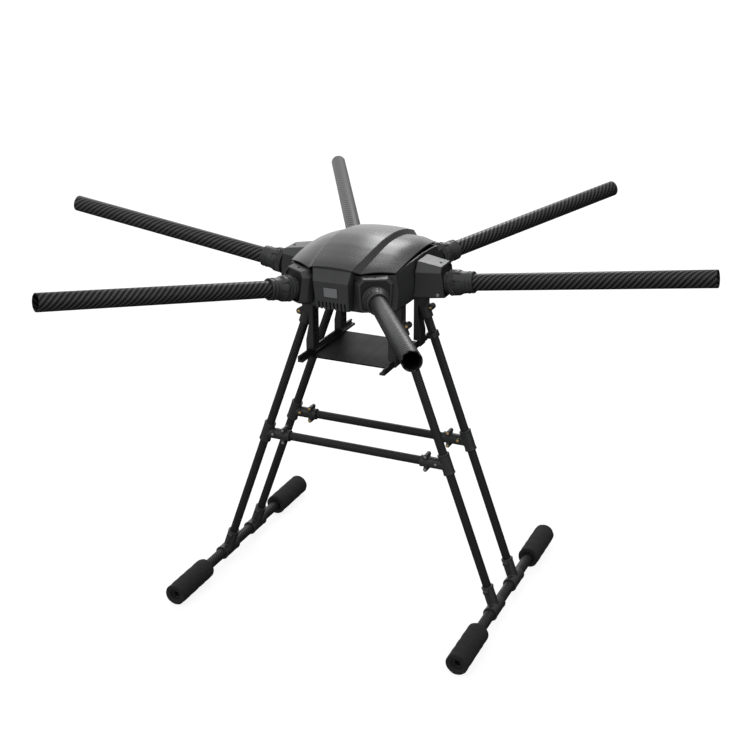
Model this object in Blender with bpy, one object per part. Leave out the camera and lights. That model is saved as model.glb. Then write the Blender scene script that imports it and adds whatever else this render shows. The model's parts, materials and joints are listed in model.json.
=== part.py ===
"""Six-arm multirotor airframe, clean build in metres, +Z up.

The aircraft stands on its two skids.  The origin is on the ground, midway
between the skids and straight below the centre of the body.  The nose points
along -Y.  "Left" is the -X side and "right" the +X side, as seen by someone
who stands in front of the nose and looks at it.
"""

import math

import bmesh
import bpy
from mathutils import Matrix, Vector

# ---------------------------------------------------------------- dimensions
HUB_Z = 0.5948            # height of the point where the six arm axes meet
DIHEDRAL = math.radians(8.0)
ARM_END = 0.624           # open end of an arm, along its axis
ARM_ROOT = 0.094          # inner end of an arm when it is pushed home
ARM_R, ARM_BORE = 0.0150, 0.0130
SOCKET_BORE = 0.0156
NUT_BORE = 0.0154
SOCKET_FACE = 0.1585
COLLAR_R, COLLAR_END = 0.0186, 0.1780

ARMS = (                   # name, azimuth in degrees, long socket block
    ("front_left", -120.0, False),
    ("left", 180.0, True),
    ("rear_left", 120.0, False),
    ("rear_right", 60.0, False),
    ("right", 0.0, True),
    ("front_right", -60.0, False),
)

WALL_Y = 0.1270                      # end wall of the body tub, from the centre
FACET = 0.1345                       # corner facets, from the centre
TUB_WALL = 0.003
TUB_BEND, TUB_FLOOR = 0.024, -0.006  # heights over the hub point
# Side wall of the tub, from the centre, at its corners and at mid length.
TOP_X, BEND_X, FLOOR_X = (0.0990, 0.1055), (0.1035, 0.1075), (0.1005, 0.1025)
SIDE_FLAT = 0.036                    # half length of the middle stretch

LEG_R, LEG_BORE = 0.008, 0.0070
LEG_Y = 0.0563
LEG_TOP = Vector((0.0911, LEG_Y, -0.0500))
LEG_FOOT = Vector((0.2821, LEG_Y, -0.5743))
BAR_Z, BAR_Y = -0.3015, 0.0566
SKID_X, SKID_Z = 0.2821, -0.5743
SKID_R, SKID_BORE, SKID_HALF = 0.010, 0.0090, 0.2490
FOAM_R, FOAM_BORE, FOAM_IN, FOAM_OUT = 0.0205, 0.0104, 0.1450, 0.2567

RAIL_X, RAIL_W, RAIL_H, RAIL_HALF = 0.0846, 0.0100, 0.0110, 0.1120
RAIL_BOTTOM = -0.1247
TRAY_X, TRAY_Y, TRAY_T = 0.0765, 0.0740, 0.0025
POST_IN, POST_OUT, POST_Y0, POST_Y1 = 0.0735, 0.0820, 0.0470, 0.0710

GAP = 0.0003
ROUND = 16                # sides of the larger round pieces
TUBE_SIDES = 20

# ------------------------------------------------------------------- helpers
for old in list(bpy.data.objects):
    bpy.data.objects.remove(old, do_unlink=True)

COLLECTION = bpy.context.scene.collection
MATERIALS = {}


def material(name, colour, roughness, metallic):
    if name not in MATERIALS:
        made = bpy.data.materials.new(name)
        made.use_nodes = True
        shader = made.node_tree.nodes["Principled BSDF"]
        shader.inputs["Base Color"].default_value = (*colour, 1.0)
        shader.inputs["Roughness"].default_value = roughness
        shader.inputs["Metallic"].default_value = metallic
        made.diffuse_color = (*colour, 1.0)
        MATERIALS[name] = made
    return MATERIALS[name]


SHELL = ("shell_plastic", (0.030, 0.031, 0.033), 0.38, 0.0)
CANOPY = ("canopy_plastic", (0.045, 0.046, 0.048), 0.30, 0.0)
CARBON = ("carbon_twill", (0.020, 0.021, 0.022), 0.35, 0.0)
CARBON_MATT = ("carbon_matt", (0.018, 0.018, 0.019), 0.50, 0.0)
ALLOY = ("black_alloy", (0.022, 0.022, 0.024), 0.42, 0.6)
FOAM = ("foam_rubber", (0.013, 0.013, 0.013), 0.92, 0.0)
BOARD = ("power_board", (0.015, 0.045, 0.025), 0.55, 0.0)
LABEL = ("label_plate", (0.30, 0.31, 0.32), 0.40, 0.3)


def empty(name, matrix):
    made = bpy.data.objects.new(name, None)
    made.empty_display_size = 0.03
    COLLECTION.objects.link(made)
    made.matrix_world = matrix
    return made


def finish(bm, name, finish_of, parent=None, matrix=None, helper=False, smooth=True):
    """Turns a bmesh into an object, with its faces pointing out."""
    bmesh.ops.remove_doubles(bm, verts=bm.verts, dist=2e-6)
    bmesh.ops.recalc_face_normals(bm, faces=bm.faces)
    mesh = bpy.data.meshes.new(name)
    bm.to_mesh(mesh)
    bm.free()
    return place(mesh, name, finish_of, parent, matrix, helper, smooth)


def place(mesh, name, finish_of, parent=None, matrix=None, helper=False, smooth=True):
    made = bpy.data.objects.new(name, mesh)
    COLLECTION.objects.link(made)
    if smooth:
        mesh.shade_smooth()
        mesh.set_sharp_from_angle(angle=math.radians(32))
    if not helper and not mesh.materials:
        mesh.materials.append(material(*finish_of))
    if parent is not None:
        made.parent = parent
        made.matrix_parent_inverse = Matrix()
        if matrix is not None:
            made.matrix_local = matrix
    elif matrix is not None:
        made.matrix_world = matrix
    if helper:
        made.hide_render = True
        made.display_type = "WIRE"
    return made


def combine(target, tool, operation):
    """A Boolean of another solid; the other solid is a hidden helper."""
    mod = target.modifiers.new(operation.lower(), "BOOLEAN")
    mod.operation = operation
    mod.solver = "EXACT"
    mod.object = tool
    return target


def loop(bm, points):
    verts = [bm.verts.new(p) for p in points]
    edges = [bm.edges.new((verts[i], verts[(i + 1) % len(verts)])) for i in range(len(verts))]
    return verts, edges


def skin(rings, cap=True):
    """A solid through rings of equal count, its two ends closed."""
    bm = bmesh.new()
    rows = [[bm.verts.new(p) for p in ring] for ring in rings]
    for a, b in zip(rows, rows[1:]):
        n = len(a)
        for i in range(n):
            bm.faces.new((a[i], a[(i + 1) % n], b[(i + 1) % n], b[i]))
    if cap:
        bm.faces.new(list(reversed(rows[0])))
        bm.faces.new(rows[-1])
    return bm


def lathe(profile, sides, axis="Z"):
    """A solid of revolution of a closed outline of (along, radius) points."""
    bm = bmesh.new()
    verts = [bm.verts.new((r, 0.0, a)) for a, r in profile]
    edges = [bm.edges.new((verts[i], verts[(i + 1) % len(verts)])) for i in range(len(verts))]
    # An edge that lies on the axis turns into nothing, so it is left out.
    for e in list(edges):
        if all(abs(v.co.x) < 1e-9 for v in e.verts):
            bm.edges.remove(e)
            edges.remove(e)
    bmesh.ops.spin(bm, geom=verts + edges, cent=(0, 0, 0), axis=(0, 0, 1), angle=2 * math.pi, steps=sides, use_duplicate=False)
    bmesh.ops.remove_doubles(bm, verts=bm.verts, dist=2e-6)
    if axis == "X":
        bmesh.ops.rotate(bm, verts=bm.verts, matrix=Matrix(((0, 0, 1), (0, 1, 0), (-1, 0, 0))))
    elif axis == "Y":
        bmesh.ops.rotate(bm, verts=bm.verts, matrix=Matrix(((1, 0, 0), (0, 0, 1), (0, -1, 0))))
    return bm


def pipe_profile(a0, a1, r_in, r_out):
    return [(a0, r_in), (a0, r_out), (a1, r_out), (a1, r_in)]


def rod_profile(a0, a1, r):
    return [(a0, 0.0), (a0, r), (a1, r), (a1, 0.0)]


def block(lo, hi, bevel=0.0):
    bm = bmesh.new()
    bmesh.ops.create_cube(bm, size=1.0)
    for v in bm.verts:
        v.co = Vector([lo[i] if v.co[i] < 0 else hi[i] for i in range(3)])
    if bevel:
        bmesh.ops.bevel(bm, geom=bm.edges, offset=bevel, segments=1, affect="EDGES")
    return bm


def add(bm, other, matrix=Matrix()):
    """Puts another bmesh's geometry into this one and frees it."""
    mesh = bpy.data.meshes.new("tmp")
    bmesh.ops.transform(other, matrix=matrix, verts=other.verts)
    other.to_mesh(mesh)
    other.free()
    bm.from_mesh(mesh)
    bpy.data.meshes.remove(mesh)
    return bm


def along(p0, p1):
    """The frame whose origin is p0 and whose +Z points at p1."""
    direction = (Vector(p1) - Vector(p0)).normalized()
    return Matrix.Translation(Vector(p0)) @ direction.to_track_quat("Z", "Y").to_matrix().to_4x4()


HUB = Vector((0.0, 0.0, HUB_Z))
UP = Matrix.Translation(HUB)
HUB_FRAME = empty("hub_frame", UP)

# ---------------------------------------------------------------- canopy
# Heights over the hub point.  The centre panel is raised; a sloped step joins
# it to each side panel, and the side edges are arched.
SPINE = ((-0.1425, 0.0684), (-0.1300, 0.0730), (-0.1175, 0.0767), (-0.1050, 0.0799), (-0.0925, 0.0830),
         (-0.0800, 0.0859), (-0.0675, 0.0887), (-0.0550, 0.0909), (-0.0425, 0.0929), (-0.0300, 0.0945),
         (-0.0175, 0.0953), (0.0, 0.0954), (0.0150, 0.0951), (0.0325, 0.0938), (0.0575, 0.0907),
         (0.0850, 0.0852), (0.1150, 0.0768), (0.1425, 0.0680))
NOSE_END = 0.1425
CANOPY_T = 0.0020


def ramp(y):
    """Height of the centre panel's edge over the hub point."""
    for (a0, v0), (a1, v1) in zip(SPINE, SPINE[1:]):
        if y <= a1:
            return v0 + (v1 - v0) * (y - a0) / (a1 - a0)
    return SPINE[-1][1]


def centre_half(y):
    """Half width of the centre panel, widest a little ahead of the middle."""
    return 0.0457 - (0.869 if y < -0.03 else 0.535) * abs(y + 0.03) ** 2.2


def grid_shell(columns, thickness):
    """A closed shell under a grid of top points: columns[i][j]."""
    bm = bmesh.new()
    top = [[bm.verts.new(p) for p in col] for col in columns]
    low = [[bm.verts.new(Vector(p) - Vector((0, 0, thickness))) for p in col] for col in columns]
    ni, nj = len(columns), len(columns[0])
    for i in range(ni - 1):
        for j in range(nj - 1):
            bm.faces.new((top[i][j], top[i + 1][j], top[i + 1][j + 1], top[i][j + 1]))
            bm.faces.new((low[i][j], low[i][j + 1], low[i + 1][j + 1], low[i + 1][j]))
    for i in range(ni - 1):
        for j in (0, nj - 1):
            bm.faces.new((top[i][j], top[i + 1][j], low[i + 1][j], low[i][j]))
    for j in range(nj - 1):
        for i in (0, ni - 1):
            bm.faces.new((top[i][j], top[i][j + 1], low[i][j + 1], low[i][j]))
    return bm


STATIONS = [-1.0 + 2.0 * j / 12 for j in range(13)]
CANOPY_FRAME = empty("canopy_lift", UP)

columns = []
for i in range(7):
    a = -1.0 + 2.0 * i / 6
    col = []
    for v in STATIONS:
        y = v * NOSE_END
        half = centre_half(y)
        col.append((a * half, y, ramp(y) + 0.0027 * (1 - a * a)))
    columns.append(col)
finish(grid_shell(columns, CANOPY_T), "canopy_centre", CANOPY, CANOPY_FRAME)

# A side panel starts with the step down from the centre panel, then falls to
# its arched outer edge.
STEP_REACH, STRIP_REACH, EDGE_REACH = 0.1418, 0.1315, 0.0970
for side, sign in (("left", -1.0), ("right", 1.0)):
    columns = []
    for step in range(8):
        w = max(0.0, (step - 1) / 6)
        col = []
        for v in STATIONS:
            top = ramp(v * NOSE_END)
            half = centre_half(v * NOSE_END)
            if step == 0:
                col.append((sign * (half + 0.0004), v * STEP_REACH, top - 0.0004))
                continue
            strip_x = half + 0.0078 + 0.0025 * abs(v) ** 3
            strip_z = top - 0.0078 + 0.0013 * v * v
            edge_x = 0.1005 - 0.00275 * v - 0.00375 * v * v
            edge_z = 0.0717 + 0.0035 * v - 0.0080 * v * v - (0.0038 * v ** 3 if v > 0 else 0.0)
            x = strip_x * (1 - w) + edge_x * w
            z = strip_z * (1 - w) + edge_z * w + 0.0025 * math.sin(math.pi * w)
            col.append((sign * x, v * (STRIP_REACH + (EDGE_REACH - STRIP_REACH) * w), z))
        columns.append(col)
    finish(grid_shell(columns, CANOPY_T), f"canopy_{side}", CANOPY, CANOPY_FRAME)

# ---------------------------------------------------------------- body tub
def tub_outline(walls, y_wall, facet, cuts):
    """Corner points counter-clockwise, with extra points along the side walls."""
    c, s = math.cos(math.radians(60)), math.sin(math.radians(60))
    corner, middle = walls
    x_nose = (facet - s * y_wall) / c
    y_side = (facet - c * corner) / s
    side = [(corner, -y_side)]
    for y in cuts:
        side.append((middle + (corner - middle) * max(0.0, (abs(y) - SIDE_FLAT) / (y_side - SIDE_FLAT)), y))
    side.append((corner, y_side))
    points = [(x_nose, -y_wall)] + side + [(x_nose, y_wall)]
    return points + [(-x, -y) for x, y in points]


CUTS = (-0.074, -0.054, -SIDE_FLAT, -0.018, 0.0, 0.018, SIDE_FLAT, 0.054, 0.074)


def tub_top(x, y):
    if abs(x) < TOP_X[0] - 0.001:
        return 0.0560
    return 0.0560 + 0.0107 * (1 - min(1.0, abs(y) / 0.0981) ** 2.2)


def inset(walls):
    return tuple(x - TUB_WALL for x in walls)


outer = tub_outline(TOP_X, WALL_Y, FACET, CUTS)
tops = [tub_top(x, y) for x, y in outer]
thin = (WALL_Y - TUB_WALL, FACET - TUB_WALL, CUTS)
rings = [
    [(x, y, z) for (x, y), z in zip(outer, tops)],
    [(x, y, TUB_BEND) for x, y in tub_outline(BEND_X, WALL_Y, FACET, CUTS)],
    [(x, y, TUB_FLOOR) for x, y in tub_outline(FLOOR_X, WALL_Y, FACET, CUTS)],
    [(x, y, TUB_FLOOR) for x, y in tub_outline(inset(FLOOR_X), *thin)],
    [(x, y, TUB_BEND) for x, y in tub_outline(inset(BEND_X), *thin)],
    [(x, y, z) for (x, y), z in zip(tub_outline(inset(TOP_X), *thin), tops)],
]
bm = skin(rings + rings[:1], cap=False)
tub = finish(bm, "body_shell", SHELL, HUB_FRAME)

ARM_FRAMES = {}
for name, azimuth, _ in ARMS:
    turn = Matrix.Rotation(math.radians(azimuth), 4, "Z") @ Matrix.Rotation(-DIHEDRAL, 4, "Y")
    ARM_FRAMES[name] = empty(f"arm_axis_{name}", UP @ turn)
hole = lathe(rod_profile(0.06, 0.16, 0.0192), ROUND, "X")
hole_mesh = bpy.data.meshes.new("wall_hole")
bmesh.ops.recalc_face_normals(hole, faces=hole.faces)
hole.to_mesh(hole_mesh)
hole.free()
for name, _, _ in ARMS:
    combine(tub, place(hole_mesh, f"cut_wall_{name}", None, ARM_FRAMES[name], helper=True), "DIFFERENCE")

plate = tub_outline(tuple(x - 0.0005 for x in FLOOR_X), WALL_Y - 0.0005, FACET - 0.0005, (-SIDE_FLAT, SIDE_FLAT))
finish(skin([[(x, y, TUB_FLOOR - GAP - 0.003) for x, y in plate], [(x, y, TUB_FLOOR - GAP) for x, y in plate]]),
       "base_plate", ALLOY, HUB_FRAME, smooth=False)

# Power board on the base plate, with a row of solder terminals.
board = block((-0.045, -0.036, TUB_FLOOR + 0.0000), (0.045, 0.036, TUB_FLOOR + 0.0024))
power = finish(board, "power_board", BOARD, HUB_FRAME, smooth=False)
for k in range(6):
    angle = math.radians(60 * k)
    x, y = 0.034 * math.cos(angle), 0.026 * math.sin(angle)
    lug = finish(block((x - 0.005, y - 0.004, TUB_FLOOR + 0.001), (x + 0.005, y + 0.004, TUB_FLOOR + 0.0075)),
                 f"join_lug_{k}", None, HUB_FRAME, helper=True)
    combine(power, lug, "UNION")

# ---------------------------------------------------------------- nose and tail
# Outline of a cover in half width, distance out and height, from top to bottom.
COVER = ((0.0365, 0.1410, 0.0640), (0.0332, 0.1492, 0.0450), (0.0318, 0.1445, 0.0105), (0.0312, 0.1410, -0.0060))
for name, way in (("nose_cover", -1.0), ("tail_cover", 1.0)):
    rows = []
    for half, out, z in COVER:
        rows.append([
            (-half - 0.0030, way * (WALL_Y + 0.0004), z), (-half, way * (out - 0.0010), z), (-half + 0.0015, way * out, z),
            (half - 0.0015, way * out, z), (half, way * (out - 0.0010), z), (half + 0.0030, way * (WALL_Y + 0.0004), z),
            (half - 0.0020, way * (WALL_Y + 0.0004), z), (half - 0.0030, way * (out - 0.0030), z),
            (-half + 0.0030, way * (out - 0.0030), z), (-half + 0.0020, way * (WALL_Y + 0.0004), z),
        ])
    cover = finish(skin(rows), name, SHELL, HUB_FRAME)
    # Row of vertical cooling slots under the lower edge of the panel.
    comb = bmesh.new()
    for k in range(8):
        x = -0.0245 + 0.0070 * k
        add(comb, block((x - 0.0013, min(way * 0.135, way * 0.150), -0.0100), (x + 0.0013, max(way * 0.135, way * 0.150), 0.0085)))
    combine(cover, finish(comb, f"cut_slots_{name}", None, HUB_FRAME, helper=True, smooth=False), "DIFFERENCE")

slope = math.atan2(0.1492 - 0.1445, 0.0450 - 0.0105)
badge_frame = Matrix.Translation((0, -0.14700, 0.0268)) @ Matrix.Rotation(slope, 4, "X")
finish(block((-0.0125, -0.0014, -0.0082), (0.0125, -0.0003, 0.0082), 0.0003), "label_plate", LABEL, HUB_FRAME, badge_frame, smooth=False)

# ---------------------------------------------------------------- arm sockets
SIN, COS = math.sin(DIHEDRAL), math.cos(DIHEDRAL)


KNEE = 0.0100             # where the tub wall bends, over the arm axis


def rim(half_top, h_top, half_mid, h_mid, half_low, h_low, half_bot, h_bot, s_of):
    """Ten corners of a socket section, seen along the arm."""
    half_knee = half_mid + (half_low - half_mid) * (h_mid - KNEE) / (h_mid - h_low)
    right = [(half_top, h_top), (half_mid, h_mid), (half_knee, KNEE), (half_low, h_low), (half_bot, h_bot)]
    return [(s_of(h), t, h) for t, h in right + [(-t, h) for t, h in reversed(right)]]


def wall_s(long):
    """Arm coordinate of the tub wall (plus its gap) at a height over the axis."""
    def s_of(h):
        s = ((BEND_X[1] if long else FACET) + 0.0006 + h * SIN) / COS
        z = s * SIN + h * COS
        if long and z < TUB_BEND:
            s -= (BEND_X[1] - FLOOR_X[1]) * (TUB_BEND - z) / (TUB_BEND - TUB_FLOOR) / COS
        return s
    return s_of


def socket_mesh(long):
    if long:
        rows = [rim(0.0235, 0.0468, 0.0345, 0.0287, 0.0312, -0.0165, 0.0285, -0.0205, wall_s(True))]
        face = rim(0.0208, 0.0337, 0.0287, 0.0243, 0.0258, -0.0185, 0.0215, -0.0220, lambda h: SOCKET_FACE)
    else:
        rows = [rim(0.0237, 0.0388, 0.0336, 0.0262, 0.0300, -0.0185, 0.0250, -0.0235, wall_s(False)),
                rim(0.0231, 0.0372, 0.0334, 0.0255, 0.0295, -0.0190, 0.0250, -0.0235, lambda h: 0.1470)]
        face = rim(0.0205, 0.0337, 0.0285, 0.0240, 0.0258, -0.0185, 0.0215, -0.0220, lambda h: SOCKET_FACE)
    rows.append(face)
    bm = skin(rows, cap=False)
    bm.verts.ensure_lookup_table()
    last = len(bm.verts) - 10
    # The inner end bends at the knee, as the tub wall does.
    bm.faces.new([bm.verts[i] for i in (0, 1, 2, 7, 8, 9)])
    bm.faces.new([bm.verts[i] for i in (2, 3, 4, 5, 6, 7)])
    bm.faces.new([bm.verts[last + i] for i in range(10)])
    return bm


for name, azimuth, long in ARMS:
    frame = ARM_FRAMES[name]
    socket = finish(socket_mesh(long), f"arm_socket_{name}", SHELL, frame)
    barrel = finish(lathe(rod_profile(0.0950 if long else 0.1020, COLLAR_END, COLLAR_R), ROUND, "X"),
                    f"join_barrel_{name}", None, frame, helper=True)
    combine(socket, barrel, "UNION")
    bore = finish(lathe(rod_profile(0.0700, 0.2000, SOCKET_BORE), ROUND, "X"), f"cut_bore_{name}", None, frame, helper=True)
    combine(socket, bore, "DIFFERENCE")

# ---------------------------------------------------------------- arms and nuts
tube = lathe([(ARM_ROOT, 0.0), (ARM_ROOT, ARM_R - 0.0012), (ARM_ROOT + 0.0012, ARM_R), (ARM_END, ARM_R),
              (ARM_END, ARM_BORE), (ARM_ROOT + 0.014, ARM_BORE), (ARM_ROOT + 0.014, 0.0)], TUBE_SIDES, "X")
bmesh.ops.recalc_face_normals(tube, faces=tube.faces)
tube_mesh = bpy.data.meshes.new("arm_tube")
tube.to_mesh(tube_mesh)
tube.free()
nut = lathe([(0.1655, 0.0192), (0.1655, 0.0229), (0.1668, 0.0234), (0.1805, 0.0229), (0.1850, 0.0206), (0.1970, 0.0191),
             (0.2000, 0.0198), (0.2070, 0.0195), (0.2087, 0.0183), (0.2087, NUT_BORE), (0.1805, NUT_BORE),
             (0.1805, 0.0192)], ROUND, "X")
bmesh.ops.recalc_face_normals(nut, faces=nut.faces)
nut_mesh = bpy.data.meshes.new("lock_nut")
nut.to_mesh(nut_mesh)
nut.free()
for name, _, _ in ARMS:
    place(tube_mesh, f"arm_tube_{name}", CARBON, ARM_FRAMES[name])
    place(nut_mesh, f"lock_nut_{name}", SHELL, ARM_FRAMES[name])

# ---------------------------------------------------------------- payload rails and tray
for side, sign in (("left", -1.0), ("right", 1.0)):
    outline = [(0.0, 0.0), (0.0, RAIL_H), (-0.0040, RAIL_H), (-0.0040, 0.0040), (-RAIL_W, 0.0040), (-RAIL_W, 0.0)]
    rows = [[(sign * (RAIL_X + dx), y, RAIL_BOTTOM + dz) for dx, dz in outline] for y in (-RAIL_HALF, RAIL_HALF)]
    finish(skin(rows), f"payload_rail_{side}", ALLOY, HUB_FRAME, smooth=False)
tray_top = RAIL_BOTTOM - GAP
finish(block((-TRAY_X, -TRAY_Y, tray_top - TRAY_T), (TRAY_X, TRAY_Y, tray_top), 0.0004), "payload_tray", ALLOY, HUB_FRAME, smooth=False)

# ---------------------------------------------------------------- hanger posts, leg brackets
FLOOR_UNDER = TUB_FLOOR - GAP - 0.003
QUADS = (("front_left", -1, -1), ("front_right", 1, -1), ("rear_left", -1, 1), ("rear_right", 1, 1))
LEG_DIR = (LEG_FOOT - LEG_TOP).normalized()


def leg_x(z):
    return LEG_TOP.x + (z - LEG_TOP.z) / (LEG_FOOT.z - LEG_TOP.z) * (LEG_FOOT.x - LEG_TOP.x)


def flip(sx, sy):
    return Matrix.Diagonal((sx, sy, 1, 1))


for name, sx, sy in QUADS:
    # Post: a flat bar that hangs from the base plate and grips the rail.
    rail_top = RAIL_BOTTOM + RAIL_H + GAP
    out = RAIL_X + GAP
    outline = [(POST_IN, FLOOR_UNDER - GAP), (POST_OUT, FLOOR_UNDER - GAP), (POST_OUT, -0.0660), (0.0880, -0.0960),
               (0.0880, -0.1240), (out, -0.1240), (out, rail_top), (POST_IN, rail_top)]
    rows = [[(sx * x, sy * y, z) for x, z in outline] for y in (POST_Y0, POST_Y1)]
    post = finish(skin(rows), f"hanger_post_{name}", SHELL, HUB_FRAME, smooth=False)
    # Ladder ribs on the side that faces the middle.
    ribs = bmesh.new()
    for k in range(7):
        z = -0.0280 - 0.0120 * k
        lo, hi = sorted((sy * (POST_Y0 + 0.004), sy * (POST_Y1 - 0.004)))
        a, b = sorted((sx * (POST_IN - 0.001), sx * (POST_IN + 0.002)))
        add(ribs, block((a, lo, z - 0.0038), (b, hi, z + 0.0038)))
    combine(post, finish(ribs, f"cut_ribs_{name}", None, HUB_FRAME, helper=True, smooth=False), "DIFFERENCE")

    # Bracket: a pad under the base plate, a pinch sleeve round the leg, an ear.
    bm = block((0.0810, LEG_Y - 0.0110, -0.0450), (0.0970, LEG_Y + 0.0110, FLOOR_UNDER - GAP))
    bmesh.ops.transform(bm, matrix=flip(sx, sy), verts=bm.verts)
    bracket = finish(bm, f"leg_bracket_{name}", SHELL, HUB_FRAME)
    sleeve = lathe(rod_profile(-0.0140, 0.0190, 0.0112), ROUND)
    bmesh.ops.transform(sleeve, matrix=flip(sx, sy) @ along(LEG_TOP, LEG_FOOT), verts=sleeve.verts)
    combine(bracket, finish(sleeve, f"join_sleeve_{name}", None, HUB_FRAME, helper=True), "UNION")
    ear = lathe(rod_profile(-0.0070, 0.0070, 0.0060), 12, "Y")
    bmesh.ops.transform(ear, matrix=flip(sx, sy) @ Matrix.Translation((0.1050, LEG_Y, -0.0465)), verts=ear.verts)
    combine(bracket, finish(ear, f"join_ear_{name}", None, HUB_FRAME, helper=True), "UNION")
    trim = block((0.0600, LEG_Y - 0.03, -0.1), (0.0825, LEG_Y + 0.03, 0.0))
    bmesh.ops.transform(trim, matrix=flip(sx, sy), verts=trim.verts)
    combine(bracket, finish(trim, f"cut_trim_{name}", None, HUB_FRAME, helper=True), "DIFFERENCE")
    seat = lathe(rod_profile(0.0040 - 0.0006, 0.0400, LEG_R + GAP), ROUND)
    bmesh.ops.transform(seat, matrix=flip(sx, sy) @ along(LEG_TOP, LEG_FOOT), verts=seat.verts)
    combine(bracket, finish(seat, f"cut_seat_{name}", None, HUB_FRAME, helper=True), "DIFFERENCE")

    # Leg tube from its bracket down to the skid tee.
    length = (LEG_FOOT - LEG_TOP).length
    leg = lathe(pipe_profile(0.0040, length - 0.0129, LEG_BORE, LEG_R), 16)
    bmesh.ops.transform(leg, matrix=flip(sx, sy) @ along(LEG_TOP, LEG_FOOT), verts=leg.verts)
    finish(leg, f"leg_tube_{name}", CARBON_MATT, HUB_FRAME)

    # Tee on the leg that takes the cross bar, with two ears round the bar.
    cx = leg_x(BAR_Z)
    centre = Vector((cx, LEG_Y, BAR_Z))
    place_leg = flip(sx, sy) @ along(centre, LEG_FOOT)
    tee = lathe(rod_profile(-0.0225, 0.0175, 0.0108), 16)
    bmesh.ops.transform(tee, matrix=place_leg, verts=tee.verts)
    tee = finish(tee, f"cross_tee_{name}", SHELL, HUB_FRAME)
    place_bar = flip(sx, sy) @ Matrix.Translation((0, BAR_Y, BAR_Z))
    arm = lathe(rod_profile(cx - 0.0500, cx, 0.0102), 16, "X")
    bmesh.ops.transform(arm, matrix=place_bar, verts=arm.verts)
    combine(tee, finish(arm, f"join_branch_{name}", None, HUB_FRAME, helper=True), "UNION")
    lug = block((cx - 0.0420, -0.0042, -0.0168), (cx - 0.0340, 0.0042, 0.0168), 0.0010)
    bmesh.ops.transform(lug, matrix=place_bar, verts=lug.verts)
    combine(tee, finish(lug, f"join_lugs_{name}", None, HUB_FRAME, helper=True, smooth=False), "UNION")
    bore = lathe(rod_profile(-0.0400, 0.0400, LEG_R + GAP), 16)
    bmesh.ops.transform(bore, matrix=place_leg, verts=bore.verts)
    combine(tee, finish(bore, f"cut_leg_{name}", None, HUB_FRAME, helper=True), "DIFFERENCE")
    bore = lathe(rod_profile(cx - 0.0700, cx - 0.0128, LEG_R + GAP), 16, "X")
    bmesh.ops.transform(bore, matrix=place_bar, verts=bore.verts)
    combine(tee, finish(bore, f"cut_bar_{name}", None, HUB_FRAME, helper=True), "DIFFERENCE")

    # Tee on the skid that takes the foot of the leg.
    tee = lathe(rod_profile(LEG_Y - 0.0250, LEG_Y + 0.0250, 0.0132), ROUND, "Y")
    bmesh.ops.transform(tee, matrix=flip(sx, sy) @ Matrix.Translation((SKID_X, 0, SKID_Z)), verts=tee.verts)
    tee = finish(tee, f"skid_tee_{name}", SHELL, HUB_FRAME)
    foot = flip(sx, sy) @ along(LEG_FOOT, LEG_TOP)
    arm = lathe(rod_profile(0.0, 0.0460, 0.0108), 16)
    bmesh.ops.transform(arm, matrix=foot, verts=arm.verts)
    combine(tee, finish(arm, f"join_socket_{name}", None, HUB_FRAME, helper=True), "UNION")
    lug = block((-0.0035, -0.0165, 0.0340), (0.0035, 0.0165, 0.0440), 0.0010)
    bmesh.ops.transform(lug, matrix=foot, verts=lug.verts)
    combine(tee, finish(lug, f"join_foot_lugs_{name}", None, HUB_FRAME, helper=True, smooth=False), "UNION")
    bore = lathe(rod_profile(0.0125, 0.0700, LEG_R + GAP), 16)
    bmesh.ops.transform(bore, matrix=foot, verts=bore.verts)
    combine(tee, finish(bore, f"cut_foot_{name}", None, HUB_FRAME, helper=True), "DIFFERENCE")
    bore = lathe(rod_profile(LEG_Y - 0.04, LEG_Y + 0.04, SKID_R + GAP), ROUND, "Y")
    bmesh.ops.transform(bore, matrix=flip(sx, sy) @ Matrix.Translation((SKID_X, 0, SKID_Z)), verts=bore.verts)
    combine(tee, finish(bore, f"cut_skid_{name}", None, HUB_FRAME, helper=True), "DIFFERENCE")

    # Foam sleeve on the skid's end.
    lo, hi = FOAM_IN, FOAM_OUT
    foam = lathe([(lo, FOAM_BORE), (lo, FOAM_R - 0.0015), (lo + 0.0015, FOAM_R), (hi - 0.0015, FOAM_R),
                  (hi, FOAM_R - 0.0015), (hi, FOAM_BORE)], ROUND, "Y")
    bmesh.ops.transform(foam, matrix=flip(sx, sy) @ Matrix.Translation((SKID_X, 0, SKID_Z)), verts=foam.verts)
    finish(foam, f"foam_sleeve_{name}", FOAM, HUB_FRAME)

# ---------------------------------------------------------------- cross bars, skids, leg clamp
reach = leg_x(BAR_Z) - 0.0132
for name, sign in (("front", -1), ("rear", 1)):
    bar = lathe(pipe_profile(-reach, reach, LEG_BORE, LEG_R), 16, "X")
    finish(bar, f"cross_bar_{name}", CARBON_MATT, HUB_FRAME, Matrix.Translation((0, sign * BAR_Y, BAR_Z)))
for name, sign in (("left", -1), ("right", 1)):
    skid = lathe(pipe_profile(-SKID_HALF, SKID_HALF, SKID_BORE, SKID_R), ROUND, "Y")
    finish(skid, f"skid_tube_{name}", CARBON_MATT, HUB_FRAME, Matrix.Translation((sign * SKID_X, 0, SKID_Z)))

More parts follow.
